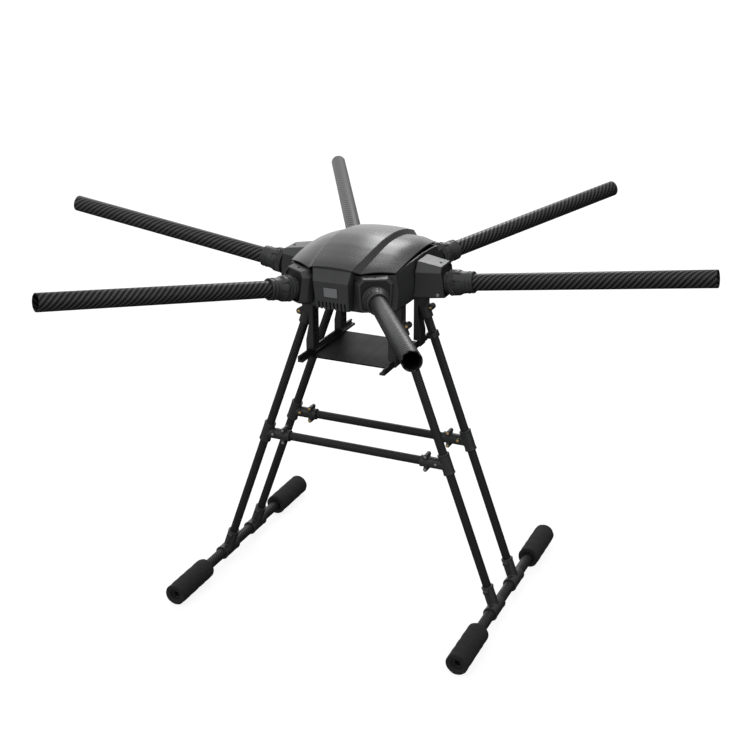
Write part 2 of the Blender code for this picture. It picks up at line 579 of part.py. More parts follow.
CLAMP_Z = -0.0990
place_clamp = along(Vector((leg_x(CLAMP_Z), LEG_Y, CLAMP_Z)), LEG_FOOT)
clamp = finish(lathe(rod_profile(-0.0055, 0.0055, 0.0112), 16), "leg_clamp", SHELL, HUB_FRAME, place_clamp)
lug = block((-0.0180, -0.0040, -0.0050), (0.0180, 0.0040, 0.0050), 0.0008)
turn = Matrix.Rotation(math.radians(-30), 4, "Z")
combine(clamp, finish(lug, "join_clamp_lugs", None, HUB_FRAME, place_clamp @ turn, helper=True, smooth=False), "UNION")
combine(clamp, finish(lathe(rod_profile(-0.02, 0.02, LEG_R + GAP), 16), "cut_clamp", None, HUB_FRAME, place_clamp, helper=True), "DIFFERENCE")
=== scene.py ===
"""Looks of the six-arm multirotor airframe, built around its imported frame.

Every visible piece is made here as a finer mesh than the frame's own solids,
in the same place, with node materials for plastic, carbon, alloy and foam.
"""

import math

import bmesh
import bpy
from mathutils import Matrix, Vector
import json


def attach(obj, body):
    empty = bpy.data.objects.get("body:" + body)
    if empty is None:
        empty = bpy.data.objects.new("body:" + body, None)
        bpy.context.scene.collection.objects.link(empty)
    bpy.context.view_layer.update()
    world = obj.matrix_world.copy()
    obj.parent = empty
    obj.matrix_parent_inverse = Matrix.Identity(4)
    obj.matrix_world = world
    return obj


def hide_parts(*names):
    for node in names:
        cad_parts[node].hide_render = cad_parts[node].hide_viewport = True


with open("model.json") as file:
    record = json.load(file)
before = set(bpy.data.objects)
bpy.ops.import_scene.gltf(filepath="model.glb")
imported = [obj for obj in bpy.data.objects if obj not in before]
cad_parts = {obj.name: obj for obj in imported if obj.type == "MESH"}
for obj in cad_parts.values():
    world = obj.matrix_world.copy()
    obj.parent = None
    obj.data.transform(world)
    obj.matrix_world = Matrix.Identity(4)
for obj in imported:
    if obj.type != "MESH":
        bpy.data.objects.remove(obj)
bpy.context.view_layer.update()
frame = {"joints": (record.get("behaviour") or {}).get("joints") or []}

# ---------------------------------------------------------------- dimensions
# The hub point and the arms' axes come from the joints of the frame.
JOINTS = {j["name"]: j for j in frame["joints"]}
ARMS = ("front_left", "left", "rear_left", "rear_right", "right", "front_right")
LONG = ("left", "right")
AXIS = {a: Vector(JOINTS["nut_turn_" + a]["axis"]).normalized() for a in ARMS}
HUB = Vector(JOINTS["nut_turn_right"]["pos_m"]) - 0.185 * AXIS["right"]
UP = Matrix.Translation(HUB)
DIHEDRAL = math.asin(AXIS["right"].z)
SIN, COS = math.sin(DIHEDRAL), math.cos(DIHEDRAL)

ARM_END, ARM_ROOT, ARM_R, ARM_BORE = 0.624, 0.094, 0.0150, 0.0130
SOCKET_BORE, SOCKET_FACE, COLLAR_R, COLLAR_END = 0.0156, 0.1585, 0.0186, 0.1780
WALL_Y, FACET, TUB_WALL = 0.1270, 0.1345, 0.003
TUB_BEND, TUB_FLOOR = 0.024, -0.006
TOP_X, BEND_X, FLOOR_X = (0.0990, 0.1055), (0.1035, 0.1075), (0.1005, 0.1025)
SIDE_FLAT = 0.036
LEG_R, LEG_BORE, LEG_Y = 0.008, 0.0070, 0.0563
LEG_TOP = Vector((0.0911, LEG_Y, -0.0500))
LEG_FOOT = Vector((0.2821, LEG_Y, -0.5743))
BAR_Z, BAR_Y = -0.3015, 0.0566
SKID_X, SKID_Z, SKID_R, SKID_BORE, SKID_HALF = 0.2821, -0.5743, 0.010, 0.0090, 0.2490
FOAM_R, FOAM_BORE, FOAM_IN, FOAM_OUT = 0.0205, 0.0104, 0.1450, 0.2567
RAIL_X, RAIL_W, RAIL_H, RAIL_HALF, RAIL_BOTTOM = 0.0846, 0.0100, 0.0110, 0.1120, -0.1247
TRAY_X, TRAY_Y, TRAY_T = 0.0765, 0.0740, 0.0025
POST_IN, POST_OUT, POST_Y0, POST_Y1 = 0.0735, 0.0820, 0.0470, 0.0710
NOSE_END = 0.1425
GAP = 0.0003
FLOOR_UNDER = TUB_FLOOR - GAP - 0.003
QUADS = (("front_left", -1, -1), ("front_right", 1, -1), ("rear_left", -1, 1), ("rear_right", 1, 1))
FINE = 64                  # sides of the larger round pieces


# ---------------------------------------------------------------- node graphs
class Graph:
    """Writes one material's nodes as expressions."""

    def __init__(self, name, **constants):
        self.material = bpy.data.materials.new(name)
        self.material.use_nodes = True
        self.tree = self.material.node_tree
        self.shader = self.tree.nodes["Principled BSDF"]
        for key, value in constants.items():
            self.shader.inputs[key.replace("_", " ")].default_value = value
        self.point = self.add("ShaderNodeTexCoord").outputs["Object"]

    def add(self, kind, inputs=None, **settings):
        node = self.tree.nodes.new(kind)
        for key, value in settings.items():
            setattr(node, key, value)
        for key, value in (inputs or {}).items():
            if isinstance(value, bpy.types.NodeSocket):
                self.tree.links.new(value, node.inputs[key])
            else:
                node.inputs[key].default_value = value
        return node

    def math(self, operation, a, b=0.0, clamp=False):
        return self.add("ShaderNodeMath", {0: a, 1: b}, operation=operation, use_clamp=clamp).outputs[0]

    def spread(self, value, low, high, out_low=0.0, out_high=1.0, smooth=False):
        node = self.add("ShaderNodeMapRange", {"Value": value, "From Min": low, "From Max": high, "To Min": out_low, "To Max": out_high},
                        clamp=True, interpolation_type="SMOOTHSTEP" if smooth else "LINEAR")
        return node.outputs["Result"]

    def stretch(self, x, y, z):
        return self.add("ShaderNodeMapping", {"Vector": self.point, "Scale": (x, y, z)}).outputs["Vector"]

    def noise(self, scale, detail=3.0, roughness=0.55, vector=None):
        return self.add("ShaderNodeTexNoise", {"Vector": vector or self.point, "Scale": scale, "Detail": detail, "Roughness": roughness}).outputs["Fac"]

    def cells(self, scale, randomness=1.0, feature="F1"):
        return self.add("ShaderNodeTexVoronoi", {"Vector": self.point, "Scale": scale, "Randomness": randomness}, feature=feature).outputs["Distance"]

    def blend(self, factor, a, b):
        node = self.add("ShaderNodeMix", {0: factor}, data_type="RGBA")
        for socket, value in ((node.inputs[6], a), (node.inputs[7], b)):
            if isinstance(value, bpy.types.NodeSocket):
                self.tree.links.new(value, socket)
            else:
                socket.default_value = (*value, 1.0)
        return node.outputs[2]

    def worn_and_highlit_edge(self, radius, low=0.02, high=0.30):
        """1 on convex and concave edges within the radius, 0 on open faces; the paler edges it makes are part wear,
        part painted highlight.
        """
        rounded = self.add("ShaderNodeBevel", {"Radius": radius}, samples=4).outputs["Normal"]
        plain = self.add("ShaderNodeNewGeometry").outputs["Normal"]
        cosine = self.add("ShaderNodeVectorMath", {0: rounded, 1: plain}, operation="DOT_PRODUCT").outputs["Value"]
        return self.spread(self.math("SUBTRACT", 1.0, cosine), low, high)

    def bump(self, height, distance, strength=1.0, normal=None):
        inputs = {"Height": height, "Distance": distance, "Strength": strength}
        if normal is not None:
            inputs["Normal"] = normal
        return self.add("ShaderNodeBump", inputs).outputs["Normal"]

    def to(self, socket, name):
        self.tree.links.new(socket, self.shader.inputs[name])
        return self


def shade(colour, factor):
    return tuple(min(1.0, c * factor) for c in colour)


def moulded(name, colour, rough, grain, depth, edge=0.0006, worn_highlit_edge_colour=None, wave=0.00002, mottle=0.45, drift=0.20, **constants):
    """Moulded plastic: a fine spark-eroded grain, slow tone changes, paler edges that are part wear and part painted
    highlight.
    """
    g = Graph(name, **constants)
    slow = g.noise(14.0, 4.0, 0.6)
    fine = g.noise(380.0, 5.0, 0.65)
    speck = g.cells(grain)
    tone = g.blend(g.spread(slow, 0.32, 0.68), shade(colour, 1 - drift), shade(colour, 1 + drift))
    tone = g.blend(g.spread(fine, 0.30, 0.72, 0.0, mottle), tone, shade(colour, 1.55))
    # Paler edges: part wear, part a painted highlight along the rims.
    wear_and_highlight = g.math("MULTIPLY", g.worn_and_highlit_edge(edge), g.spread(g.noise(95.0, 4.0), 0.36, 0.66, 0.40, 0.95))
    tone = g.blend(wear_and_highlight, tone, worn_highlit_edge_colour or shade(colour, 4.0))
    g.to(tone, "Base Color")
    dull = g.math("ADD", g.spread(slow, 0.3, 0.7, rough - drift * 0.17, rough + drift * 0.17), g.spread(fine, 0.3, 0.7, -0.08 * mottle, 0.10 * mottle))
    g.to(dull, "Roughness")
    first = g.bump(g.noise(46.0, 2.0), wave * 6)
    g.to(g.bump(g.math("ADD", speck, g.math("MULTIPLY", fine, 0.6)), depth, 1.0, first), "Normal")
    return g.material


def twill(name, cell, around, light, dark, rough, depth, contrast=1.0, **constants):
    """2x2 twill on a tube along local X: each tow floats over two others; the lengthwise tows carry a painted sheen."""
    g = Graph(name, **constants)
    split = g.add("ShaderNodeSeparateXYZ", {0: g.point}).outputs
    turn = g.math("ARCTAN2", split["Z"], split["Y"])
    v = g.math("MULTIPLY", turn, around / (2 * math.pi))
    u = g.math("DIVIDE", split["X"], cell)
    wander = g.math("MULTIPLY", g.math("SUBTRACT", g.noise(55.0, 2.0), 0.5), 0.35)
    u = g.math("ADD", u, wander)
    iu, iv = g.math("FLOOR", u), g.math("FLOOR", v)
    fu, fv = g.math("SUBTRACT", u, iu), g.math("SUBTRACT", v, iv)
    step = g.math("FLOORED_MODULO", g.math("ADD", iu, iv), 4.0)
    on_top = g.math("LESS_THAN", step, 1.5)                  # tow along the tube
    along_a = g.math("MULTIPLY", g.math("ADD", step, fu), math.pi / 2)
    along_b = g.math("MULTIPLY", g.math("ADD", g.math("SUBTRACT", step, 2.0), fv), math.pi / 2)
    crown_a = g.math("POWER", g.math("SINE", g.math("MULTIPLY", fv, math.pi)), 0.45)
    crown_b = g.math("POWER", g.math("SINE", g.math("MULTIPLY", fu, math.pi)), 0.45)
    rise_a = g.math("ADD", 0.45, g.math("MULTIPLY", g.math("SINE", along_a), 0.55))
    rise_b = g.math("ADD", 0.45, g.math("MULTIPLY", g.math("SINE", along_b), 0.55))
    high_a, high_b = g.math("MULTIPLY", crown_a, rise_a), g.math("MULTIPLY", crown_b, rise_b)
    off = g.math("SUBTRACT", 1.0, on_top)
    height = g.math("ADD", g.math("MULTIPLY", high_a, on_top), g.math("MULTIPLY", high_b, off))
    # Filaments run along each tow.
    grain_a = g.noise(1.0, 3.0, 0.7, g.add("ShaderNodeCombineXYZ", {0: g.math("MULTIPLY", u, 0.5), 1: g.math("MULTIPLY", v, 11.0), 2: 0.0}).outputs[0])
    grain_b = g.noise(1.0, 3.0, 0.7, g.add("ShaderNodeCombineXYZ", {0: g.math("MULTIPLY", u, 11.0), 1: g.math("MULTIPLY", v, 0.5), 2: 3.0}).outputs[0])
    grain = g.math("ADD", g.math("MULTIPLY", grain_a, on_top), g.math("MULTIPLY", grain_b, off))
    slow = g.noise(21.0, 3.0)
    # The lengthwise tows are paler on their crowns: a painted sheen standing in for the fibres' reflection, not a fibre
    # colour.
    pale = g.blend(g.spread(grain, 0.30, 0.72), shade(light, 0.70), shade(light, 1.30))
    deep = g.blend(g.spread(grain, 0.30, 0.72), shade(dark, 0.55), shade(dark, 1.45))
    sheen_mask = g.math("MULTIPLY", on_top, g.spread(high_a, 0.05, 0.62))
    tow = g.blend(sheen_mask, deep, pale)
    g.to(g.math("ADD", 0.12, g.math("MULTIPLY", sheen_mask, 0.32)), "Specular IOR Level")
    resin = g.spread(height, 0.03, 0.30)
    tone = g.blend(resin, shade(dark, 0.45), tow)
    tone = g.blend(g.spread(slow, 0.35, 0.70, 0.0, 0.22), tone, shade(dark, 1.0))
    g.to(tone, "Base Color")
    g.to(g.math("ADD", g.spread(grain, 0.3, 0.7, rough - 0.05, rough + 0.06), g.math("MULTIPLY", off, 0.05 * contrast)), "Roughness")
    g.to(g.bump(g.math("ADD", height, g.math("MULTIPLY", grain, 0.18)), depth), "Normal")
    return g.material


def brushed(name, colour, rough, run=(8.0, 900.0, 900.0), metal=0.9, depth=0.00002, worn_highlit_edge_colour=None):
    """Anodised or bare metal, with fine lines along one axis."""
    g = Graph(name, Metallic=metal)
    lines = g.noise(1.0, 4.0, 0.7, g.stretch(*run))
    slow = g.noise(18.0, 4.0, 0.6)
    tone = g.blend(g.spread(lines, 0.3, 0.7), shade(colour, 0.82), shade(colour, 1.18))
    tone = g.blend(g.spread(slow, 0.35, 0.7, 0.0, 0.35), tone, shade(colour, 0.75))
    # Paler edges: part wear, part a painted highlight along the rims.
    tone = g.blend(g.math("MULTIPLY", g.worn_and_highlit_edge(0.0005), 0.5), tone, worn_highlit_edge_colour or shade(colour, 2.2))
    g.to(tone, "Base Color")
    g.to(g.math("ADD", g.spread(lines, 0.3, 0.7, rough - 0.05, rough + 0.05), g.spread(slow, 0.3, 0.7, -0.03, 0.04)), "Roughness")
    g.to(g.bump(lines, depth), "Normal")
    return g.material


def foam_finish(name, colour):
    """Skin of closed-cell foam: small cells, a few larger pits with painted shade in them, dusty crests."""
    g = Graph(name, Specular_IOR_Level=0.25)
    small, large = g.cells(1500.0), g.cells(420.0)
    slow = g.noise(26.0, 5.0, 0.6)
    mottle = g.noise(300.0, 5.0, 0.7)
    tone = g.blend(g.spread(slow, 0.3, 0.7), shade(colour, 0.75), shade(colour, 1.25))
    tone = g.blend(g.spread(mottle, 0.40, 0.75, 0.0, 0.6), tone, shade(colour, 2.1))
    # The larger pits are darker towards their centres: painted shade in the pits.
    tone = g.blend(g.spread(large, 0.05, 0.22, 0.55, 0.0), tone, shade(colour, 0.35))
    g.to(tone, "Base Color")
    g.to(g.spread(mottle, 0.3, 0.7, 0.80, 0.96), "Roughness")
    height = g.math("ADD", g.math("MULTIPLY", small, 0.5), g.math("MULTIPLY", g.spread(large, 0.0, 0.35), 1.0))
    g.to(g.bump(g.math("ADD", height, g.math("MULTIPLY", mottle, 0.8)), 0.00022), "Normal")
    return g.material


def board_finish(name):
    """Green solder mask over copper tracks."""
    g = Graph(name, Coat_Weight=0.25, Coat_Roughness=0.2)
    tracks = g.add("ShaderNodeTexBrick", {"Vector": g.point, "Scale": 260.0, "Mortar Size": 0.07, "Brick Width": 0.9, "Row Height": 0.35}).outputs["Fac"]
    slow = g.noise(60.0, 3.0)
    tone = g.blend(g.spread(slow, 0.3, 0.7), (0.004, 0.030, 0.014), (0.008, 0.048, 0.022))
    tone = g.blend(g.math("MULTIPLY", tracks, 0.6), tone, (0.020, 0.085, 0.035))
    g.to(tone, "Base Color")
    g.to(g.spread(slow, 0.3, 0.7, 0.34, 0.46), "Roughness")
    g.to(g.bump(tracks, 0.00006), "Normal")
    return g.material


SHELL = moulded("shell_plastic_look", (0.031, 0.0316, 0.0327), 0.34, 1500.0, 0.00002, edge=0.0014, worn_highlit_edge_colour=(0.19, 0.192, 0.195), mottle=0.3)
# A darker copy of the shell plastic for the socket pocket's floor: painted shade in the recess.
POCKET_SHADE = moulded("pocket_shade_plastic_look", (0.007, 0.0072, 0.0076), 0.50, 1500.0, 0.00003, mottle=0.3)
COVER_LOOK = moulded("cover_plastic_look", (0.042, 0.0427, 0.0440), 0.36, 1700.0, 0.00002, worn_highlit_edge_colour=(0.12, 0.122, 0.125), mottle=0.3)
CANOPY = moulded("canopy_plastic_look", (0.022, 0.0224, 0.0232), 0.27, 2600.0, 0.0000015, edge=0.0007, worn_highlit_edge_colour=(0.13, 0.132, 0.135), wave=0.0000003, mottle=0.12, drift=0.06)
FITTING = moulded("fitting_plastic_look", (0.018, 0.0184, 0.019), 0.42, 1300.0, 0.00005)
NUT_LOOK = moulded("nut_plastic_look", (0.022, 0.0224, 0.0230), 0.36, 1300.0, 0.00004, edge=0.0008, worn_highlit_edge_colour=(0.14, 0.142, 0.145))
# The light tone of each carbon look is a painted sheen on the lengthwise tows.
CARBON = twill("carbon_twill_look", 0.010350 / 4, 36, (0.052, 0.053, 0.054), (0.0045, 0.0045, 0.0049), 0.36, 0.00008,
               Coat_Weight=0.06, Coat_Roughness=0.25)
CARBON_MATT = twill("carbon_matt_look", 0.00140, 36, (0.030, 0.030, 0.031), (0.010, 0.010, 0.0104), 0.46, 0.00005)
CARBON_SKID = twill("carbon_skid_look", 0.00157, 40, (0.030, 0.030, 0.031), (0.010, 0.010, 0.0104), 0.46, 0.00005)
ALLOY = brushed("black_alloy_look", (0.018, 0.018, 0.019), 0.42, (900.0, 6.0, 900.0), 0.35)
TRAY_LOOK = brushed("tray_look", (0.0085, 0.0085, 0.0092), 0.50, (700.0, 5.0, 700.0), 0.25)
TRAY_LOOK.node_tree.nodes["Principled BSDF"].inputs["Specular IOR Level"].default_value = 0.08
FOAM = foam_finish("foam_rubber_look", (0.0155, 0.0155, 0.0157))
BRASS = brushed("brass_look", (0.70, 0.52, 0.26), 0.30, (500.0, 500.0, 500.0), 1.0, 0.00001, (0.90, 0.74, 0.46))
GOLD = brushed("contact_look", (0.80, 0.58, 0.24), 0.26, (500.0, 500.0, 500.0), 1.0, 0.00001, (0.95, 0.78, 0.45))
OXIDE = brushed("black_screw_look", (0.060, 0.060, 0.062), 0.32, (600.0, 600.0, 600.0), 0.9, 0.00001, (0.28, 0.28, 0.28))
STEEL = brushed("steel_pin_look", (0.42, 0.42, 0.43), 0.32, (600.0, 600.0, 600.0), 1.0, 0.00001, (0.7, 0.7, 0.7))
CUT_END = brushed("sawn_alloy_look", (0.34, 0.34, 0.35), 0.38, (600.0, 600.0, 600.0), 0.8, 0.00002, (0.6, 0.6, 0.6))
LABEL = brushed("label_look", (0.27, 0.275, 0.28), 0.40, (6.0, 800.0, 800.0), 0.35)
SEAL = moulded("seal_rubber_look", (0.010, 0.010, 0.010), 0.62, 1800.0, 0.00004)
PLUG_LOOK = moulded("plug_plastic_look", (0.045, 0.045, 0.047), 0.45, 1500.0, 0.00004)
BOARD = board_finish("circuit_board_look")

# ---------------------------------------------------------------- mesh helpers
SCENE = bpy.context.scene.collection
TMP = []


def to_mesh(bm, name="mesh", merge=1e-6):
    if merge:
        bmesh.ops.remove_doubles(bm, verts=bm.verts, dist=merge)
    bmesh.ops.recalc_face_normals(bm, faces=bm.faces)
    mesh = bpy.data.meshes.new(name)
    bm.to_mesh(mesh)
    bm.free()
    return mesh


def evaluated(obj, name):
    """A plain mesh of the object with its modifiers worked in, in its own space."""
    bpy.context.view_layer.update()
    graph = bpy.context.evaluated_depsgraph_get()
    mesh = bpy.data.meshes.new_from_object(obj.evaluated_get(graph), depsgraph=graph)
    mesh.name = name
    return mesh


def drop(obj):
    data = obj.data
    bpy.data.objects.remove(obj, do_unlink=True)
    if isinstance(data, bpy.types.Mesh) and data.users == 0:
        bpy.data.meshes.remove(data)


def temp(mesh, matrix=Matrix()):
    obj = bpy.data.objects.new("helper", mesh)
    SCENE.objects.link(obj)
    obj.matrix_world = matrix
    return obj


def worked(mesh, joins=(), cuts=(), remesh=None, smooth=0, bevel=None, late_cuts=()):
    """A mesh after joins, cuts, an optional remesh that rounds it, and a bevel."""
    obj = temp(mesh)
    helpers = []
    for tools, operation in ((joins, "UNION"), (cuts, "DIFFERENCE")):
        for tool in tools:
            helper = temp(tool)
            helpers.append(helper)
            mod = obj.modifiers.new(operation, "BOOLEAN")
            mod.operation, mod.solver, mod.object = operation, "EXACT", helper
    if remesh:
        mod = obj.modifiers.new("remesh", "REMESH")
        mod.mode, mod.voxel_size, mod.use_smooth_shade = "VOXEL", remesh, True
    if smooth:
        mod = obj.modifiers.new("smooth", "SMOOTH")
        mod.factor, mod.iterations = 0.5, smooth
    for tool in late_cuts:
        helper = temp(tool)
        helpers.append(helper)
        mod = obj.modifiers.new("cut", "BOOLEAN")
        mod.operation, mod.solver, mod.object = "DIFFERENCE", "EXACT", helper
    if bevel:
        add_bevel(obj, *bevel)
    out = evaluated(obj, mesh.name)
    for item in [obj] + helpers:
        drop(item)
    return out


def add_bevel(obj, width, segments=3, angle=28.0):
    mod = obj.modifiers.new("edges", "BEVEL")
    mod.width, mod.segments, mod.limit_method = width, segments, "ANGLE"
    mod.angle_limit, mod.harden_normals, mod.use_clamp_overlap = math.radians(angle), True, True
    mod.miter_outer = "MITER_ARC"
    return mod


def place(mesh, name, look, body, matrix=None, replaces=(), bevel=None, sharp=32.0, flat=False):
    """Puts a mesh in the scene as a piece that rides on a body."""
    obj = bpy.data.objects.new(name, mesh)
    SCENE.objects.link(obj)
    obj.matrix_world = matrix or Matrix()
    looks = look if isinstance(look, (list, tuple)) else [look]
    mesh.materials.clear()
    for item in looks:
        mesh.materials.append(item)
    mesh.shade_smooth()
    if bevel is None and sharp:
        mesh.set_sharp_from_angle(angle=math.radians(sharp))
    if bevel:
        add_bevel(obj, *bevel)
    if flat:
        mod = obj.modifiers.new("flat_faces", "WEIGHTED_NORMAL")
        mod.mode, mod.weight, mod.keep_sharp = "FACE_AREA", 100, True
    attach(obj, body)
    if replaces:
        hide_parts(*((replaces,) if isinstance(replaces, str) else replaces))
    return obj


def add(bm, other, matrix=Matrix()):
    mesh = bpy.data.meshes.new("tmp")
    bmesh.ops.transform(other, matrix=matrix, verts=other.verts)
    other.to_mesh(mesh)
    other.free()
    bm.from_mesh(mesh)
    bpy.data.meshes.remove(mesh)
    return bm


def copied(mesh, matrix, name):
    """A copy of a mesh moved by a matrix, its faces still pointing out."""
    out = mesh.copy()
    out.name = name
    out.transform(matrix)
    if matrix.determinant() < 0:
        out.flip_normals()
    return out


def skin(rings, cap=True, closed=False):
    bm = bmesh.new()
    rows = [[bm.verts.new(p) for p in ring] for ring in rings]
    pairs = list(zip(rows, rows[1:])) + ([(rows[-1], rows[0])] if closed else [])
    for a, b in pairs:
        n = len(a)
        for i in range(n):
            bm.faces.new((a[i], a[(i + 1) % n], b[(i + 1) % n], b[i]))
    if cap and not closed:
        bm.faces.new(list(reversed(rows[0])))
        bm.faces.new(rows[-1])
    return bm


def lathe(profile, sides=FINE, axis="X"):
    """A solid of revolution of a closed outline of (along, radius) points."""
    bm = bmesh.new()
    verts = [bm.verts.new((r, 0.0, a)) for a, r in profile]
    edges = [bm.edges.new((verts[i], verts[(i + 1) % len(verts)])) for i in range(len(verts))]
    for e in list(edges):
        if all(abs(v.co.x) < 1e-9 for v in e.verts):
            bm.edges.remove(e)
            edges.remove(e)
    bmesh.ops.spin(bm, geom=verts + edges, cent=(0, 0, 0), axis=(0, 0, 1), angle=2 * math.pi, steps=sides, use_duplicate=False)
    bmesh.ops.remove_doubles(bm, verts=bm.verts, dist=1e-6)
    if axis == "X":
        bmesh.ops.rotate(bm, verts=bm.verts, matrix=Matrix(((0, 0, 1), (0, 1, 0), (-1, 0, 0))))
    elif axis == "Y":
        bmesh.ops.rotate(bm, verts=bm.verts, matrix=Matrix(((1, 0, 0), (0, 0, 1), (0, -1, 0))))
    return bm


def pipe(a0, a1, r_in, r_out, edge=0.0004):
    return [(a0, r_in + edge * 0.5), (a0, r_out - edge), (a0 + edge * 0.4, r_out - edge * 0.4), (a0 + edge, r_out), (a1 - edge, r_out),
            (a1 - edge * 0.4, r_out - edge * 0.4), (a1, r_out - edge), (a1, r_in + edge * 0.5), (a1 - edge * 0.5, r_in), (a0 + edge * 0.5, r_in)]


def rod(a0, a1, r, edge=0.0):
    if not edge:
        return [(a0, 0.0), (a0, r), (a1, r), (a1, 0.0)]
    return [(a0, 0.0), (a0, r - edge), (a0 + edge * 0.3, r - edge * 0.3), (a0 + edge, r), (a1 - edge, r), (a1 - edge * 0.3, r - edge * 0.3),
            (a1, r - edge), (a1, 0.0)]


def block(lo, hi):
    bm = bmesh.new()
    bmesh.ops.create_cube(bm, size=1.0)
    for v in bm.verts:
        v.co = Vector([lo[i] if v.co[i] < 0 else hi[i] for i in range(3)])
    return bm


def slab(outline, z0, z1):
    """A prism over a plan outline."""
    return skin([[(x, y, z0) for x, y in outline], [(x, y, z1) for x, y in outline]])


def rounded(hx, hy, r, steps=6, cx=0.0, cy=0.0):
    points = []
    for k, (sx, sy) in enumerate(((1, 1), (-1, 1), (-1, -1), (1, -1))):
        for i in range(steps + 1):
            a = math.radians(90 * k + 90 * i / steps)
            points.append((cx + sx * (hx - r) + r * math.cos(a), cy + sy * (hy - r) + r * math.sin(a)))
    return points


def along(p0, p1):
    """The frame at p0 whose local X points at p1."""
    direction = (Vector(p1) - Vector(p0)).normalized()
    return Matrix.Translation(Vector(p0)) @ direction.to_track_quat("X", "Z").to_matrix().to_4x4()


def flip(sx, sy):
    return Matrix.Diagonal((sx, sy, 1, 1))


def turned(direction):
    """A rotation that takes local +Z to a direction."""
    return Vector(direction).normalized().to_track_quat("Z", "Y").to_matrix().to_4x4()


def screw_head(radius, height, hex_size, sides=24):
    """A button head on the plane z = 0, with a hexagon socket."""
    def circle(r, z):
        return [(r * math.cos(2 * math.pi * i / sides), r * math.sin(2 * math.pi * i / sides), z) for i in range(sides)]

    def hexagon(r, z):
        out = []
        for i in range(sides):
            a = 2 * math.pi * i / sides
            local = (a % (math.pi / 3)) - math.pi / 6
            d = r * math.cos(math.pi / 6) / math.cos(local)
            out.append((d * math.cos(a), d * math.sin(a), z))
        return out

    rings = [circle(radius, -0.0003), circle(radius, height * 0.30), circle(radius * 0.93, height * 0.68), circle(radius * 0.78, height * 0.92),
             circle(radius * 0.62, height), hexagon(hex_size * 1.05, height), hexagon(hex_size * 0.96, height * 0.90), hexagon(hex_size * 0.94, height * 0.25)]
    return skin(rings)


def screws(name, look, body, places, radius=0.0028, height=0.0016):
    """One piece of screw heads: places are (point, outward direction)."""
    bm = bmesh.new()
    for k, (point, direction) in enumerate(places):
        spin = Matrix.Rotation(0.7 * k, 4, "Z")
        add(bm, screw_head(radius, height, radius * 0.52), Matrix.Translation(Vector(point)) @ turned(direction) @ spin)
    return place(to_mesh(bm, name, 0), name, look, body, sharp=28.0)


def arm_frame(name):
    azimuth = math.atan2(AXIS[name].y, AXIS[name].x)
    return UP @ Matrix.Rotation(azimuth, 4, "Z") @ Matrix.Rotation(-DIHEDRAL, 4, "Y")


FRAMES = {a: arm_frame(a) for a in ARMS}

# ---------------------------------------------------------------- canopy
SPINE = ((-0.1425, 0.0684), (-0.1300, 0.0730), (-0.1175, 0.0767), (-0.1050, 0.0799), (-0.0925, 0.0830),
         (-0.0800, 0.0859), (-0.0675, 0.0887), (-0.0550, 0.0909), (-0.0425, 0.0929), (-0.0300, 0.0945),
         (-0.0175, 0.0953), (0.0, 0.0954), (0.0150, 0.0951), (0.0325, 0.0938), (0.0575, 0.0907),
         (0.0850, 0.0852), (0.1150, 0.0768), (0.1425, 0.0680))


def ramp(y):
    """Height of the centre panel's edge over the hub point, smooth along y."""
    n = len(SPINE)

    def slope(k):
        a, b = SPINE[max(0, k - 1)], SPINE[min(n - 1, k + 1)]
        return (b[1] - a[1]) / (b[0] - a[0])

    y = max(SPINE[0][0], min(SPINE[-1][0], y))
    for k in range(n - 1):
        (a0, v0), (a1, v1) = SPINE[k], SPINE[k + 1]
        if y <= a1:
            h = a1 - a0
            t = (y - a0) / h
            return ((2 * t**3 - 3 * t**2 + 1) * v0 + (t**3 - 2 * t**2 + t) * h * slope(k)
                    + (-2 * t**3 + 3 * t**2) * v1 + (t**3 - t**2) * h * slope(k + 1))
    return SPINE[-1][1]


def centre_half(y):
    return 0.0457 - (0.869 if y < -0.03 else 0.535) * abs(y + 0.03) ** 2.2


def grid_shell(columns, thickness):
    bm = bmesh.new()
    top = [[bm.verts.new(p) for p in col] for col in columns]
    low = [[bm.verts.new(Vector(p) - Vector((0, 0, thickness))) for p in col] for col in columns]
    ni, nj = len(columns), len(columns[0])
    for i in range(ni - 1):
        for j in range(nj - 1):
            bm.faces.new((top[i][j], top[i + 1][j], top[i + 1][j + 1], top[i][j + 1]))
            bm.faces.new((low[i][j], low[i][j + 1], low[i + 1][j + 1], low[i + 1][j]))
    for i in range(ni - 1):
        for j in (0, nj - 1):
            bm.faces.new((top[i][j], top[i + 1][j], low[i + 1][j], low[i][j]))
    for j in range(nj - 1):
        for i in (0, ni - 1):
            bm.faces.new((top[i][j], top[i][j + 1], low[i][j + 1], low[i][j]))
    return bm


STEPS = 72
STATIONS = [-1.0 + 2.0 * j / STEPS for j in range(STEPS + 1)]
columns = []
for i in range(25):
    a = -1.0 + 2.0 * i / 24
    columns.append([(a * centre_half(v * NOSE_END), v * NOSE_END, ramp(v * NOSE_END) + 0.0027 * (1 - a * a)) for v in STATIONS])
place(to_mesh(grid_shell(columns, 0.0020), "canopy_centre_skin"), "canopy_centre_skin", CANOPY, "canopy", UP,
      "canopy_centre", bevel=(0.0005, 3, 40.0))

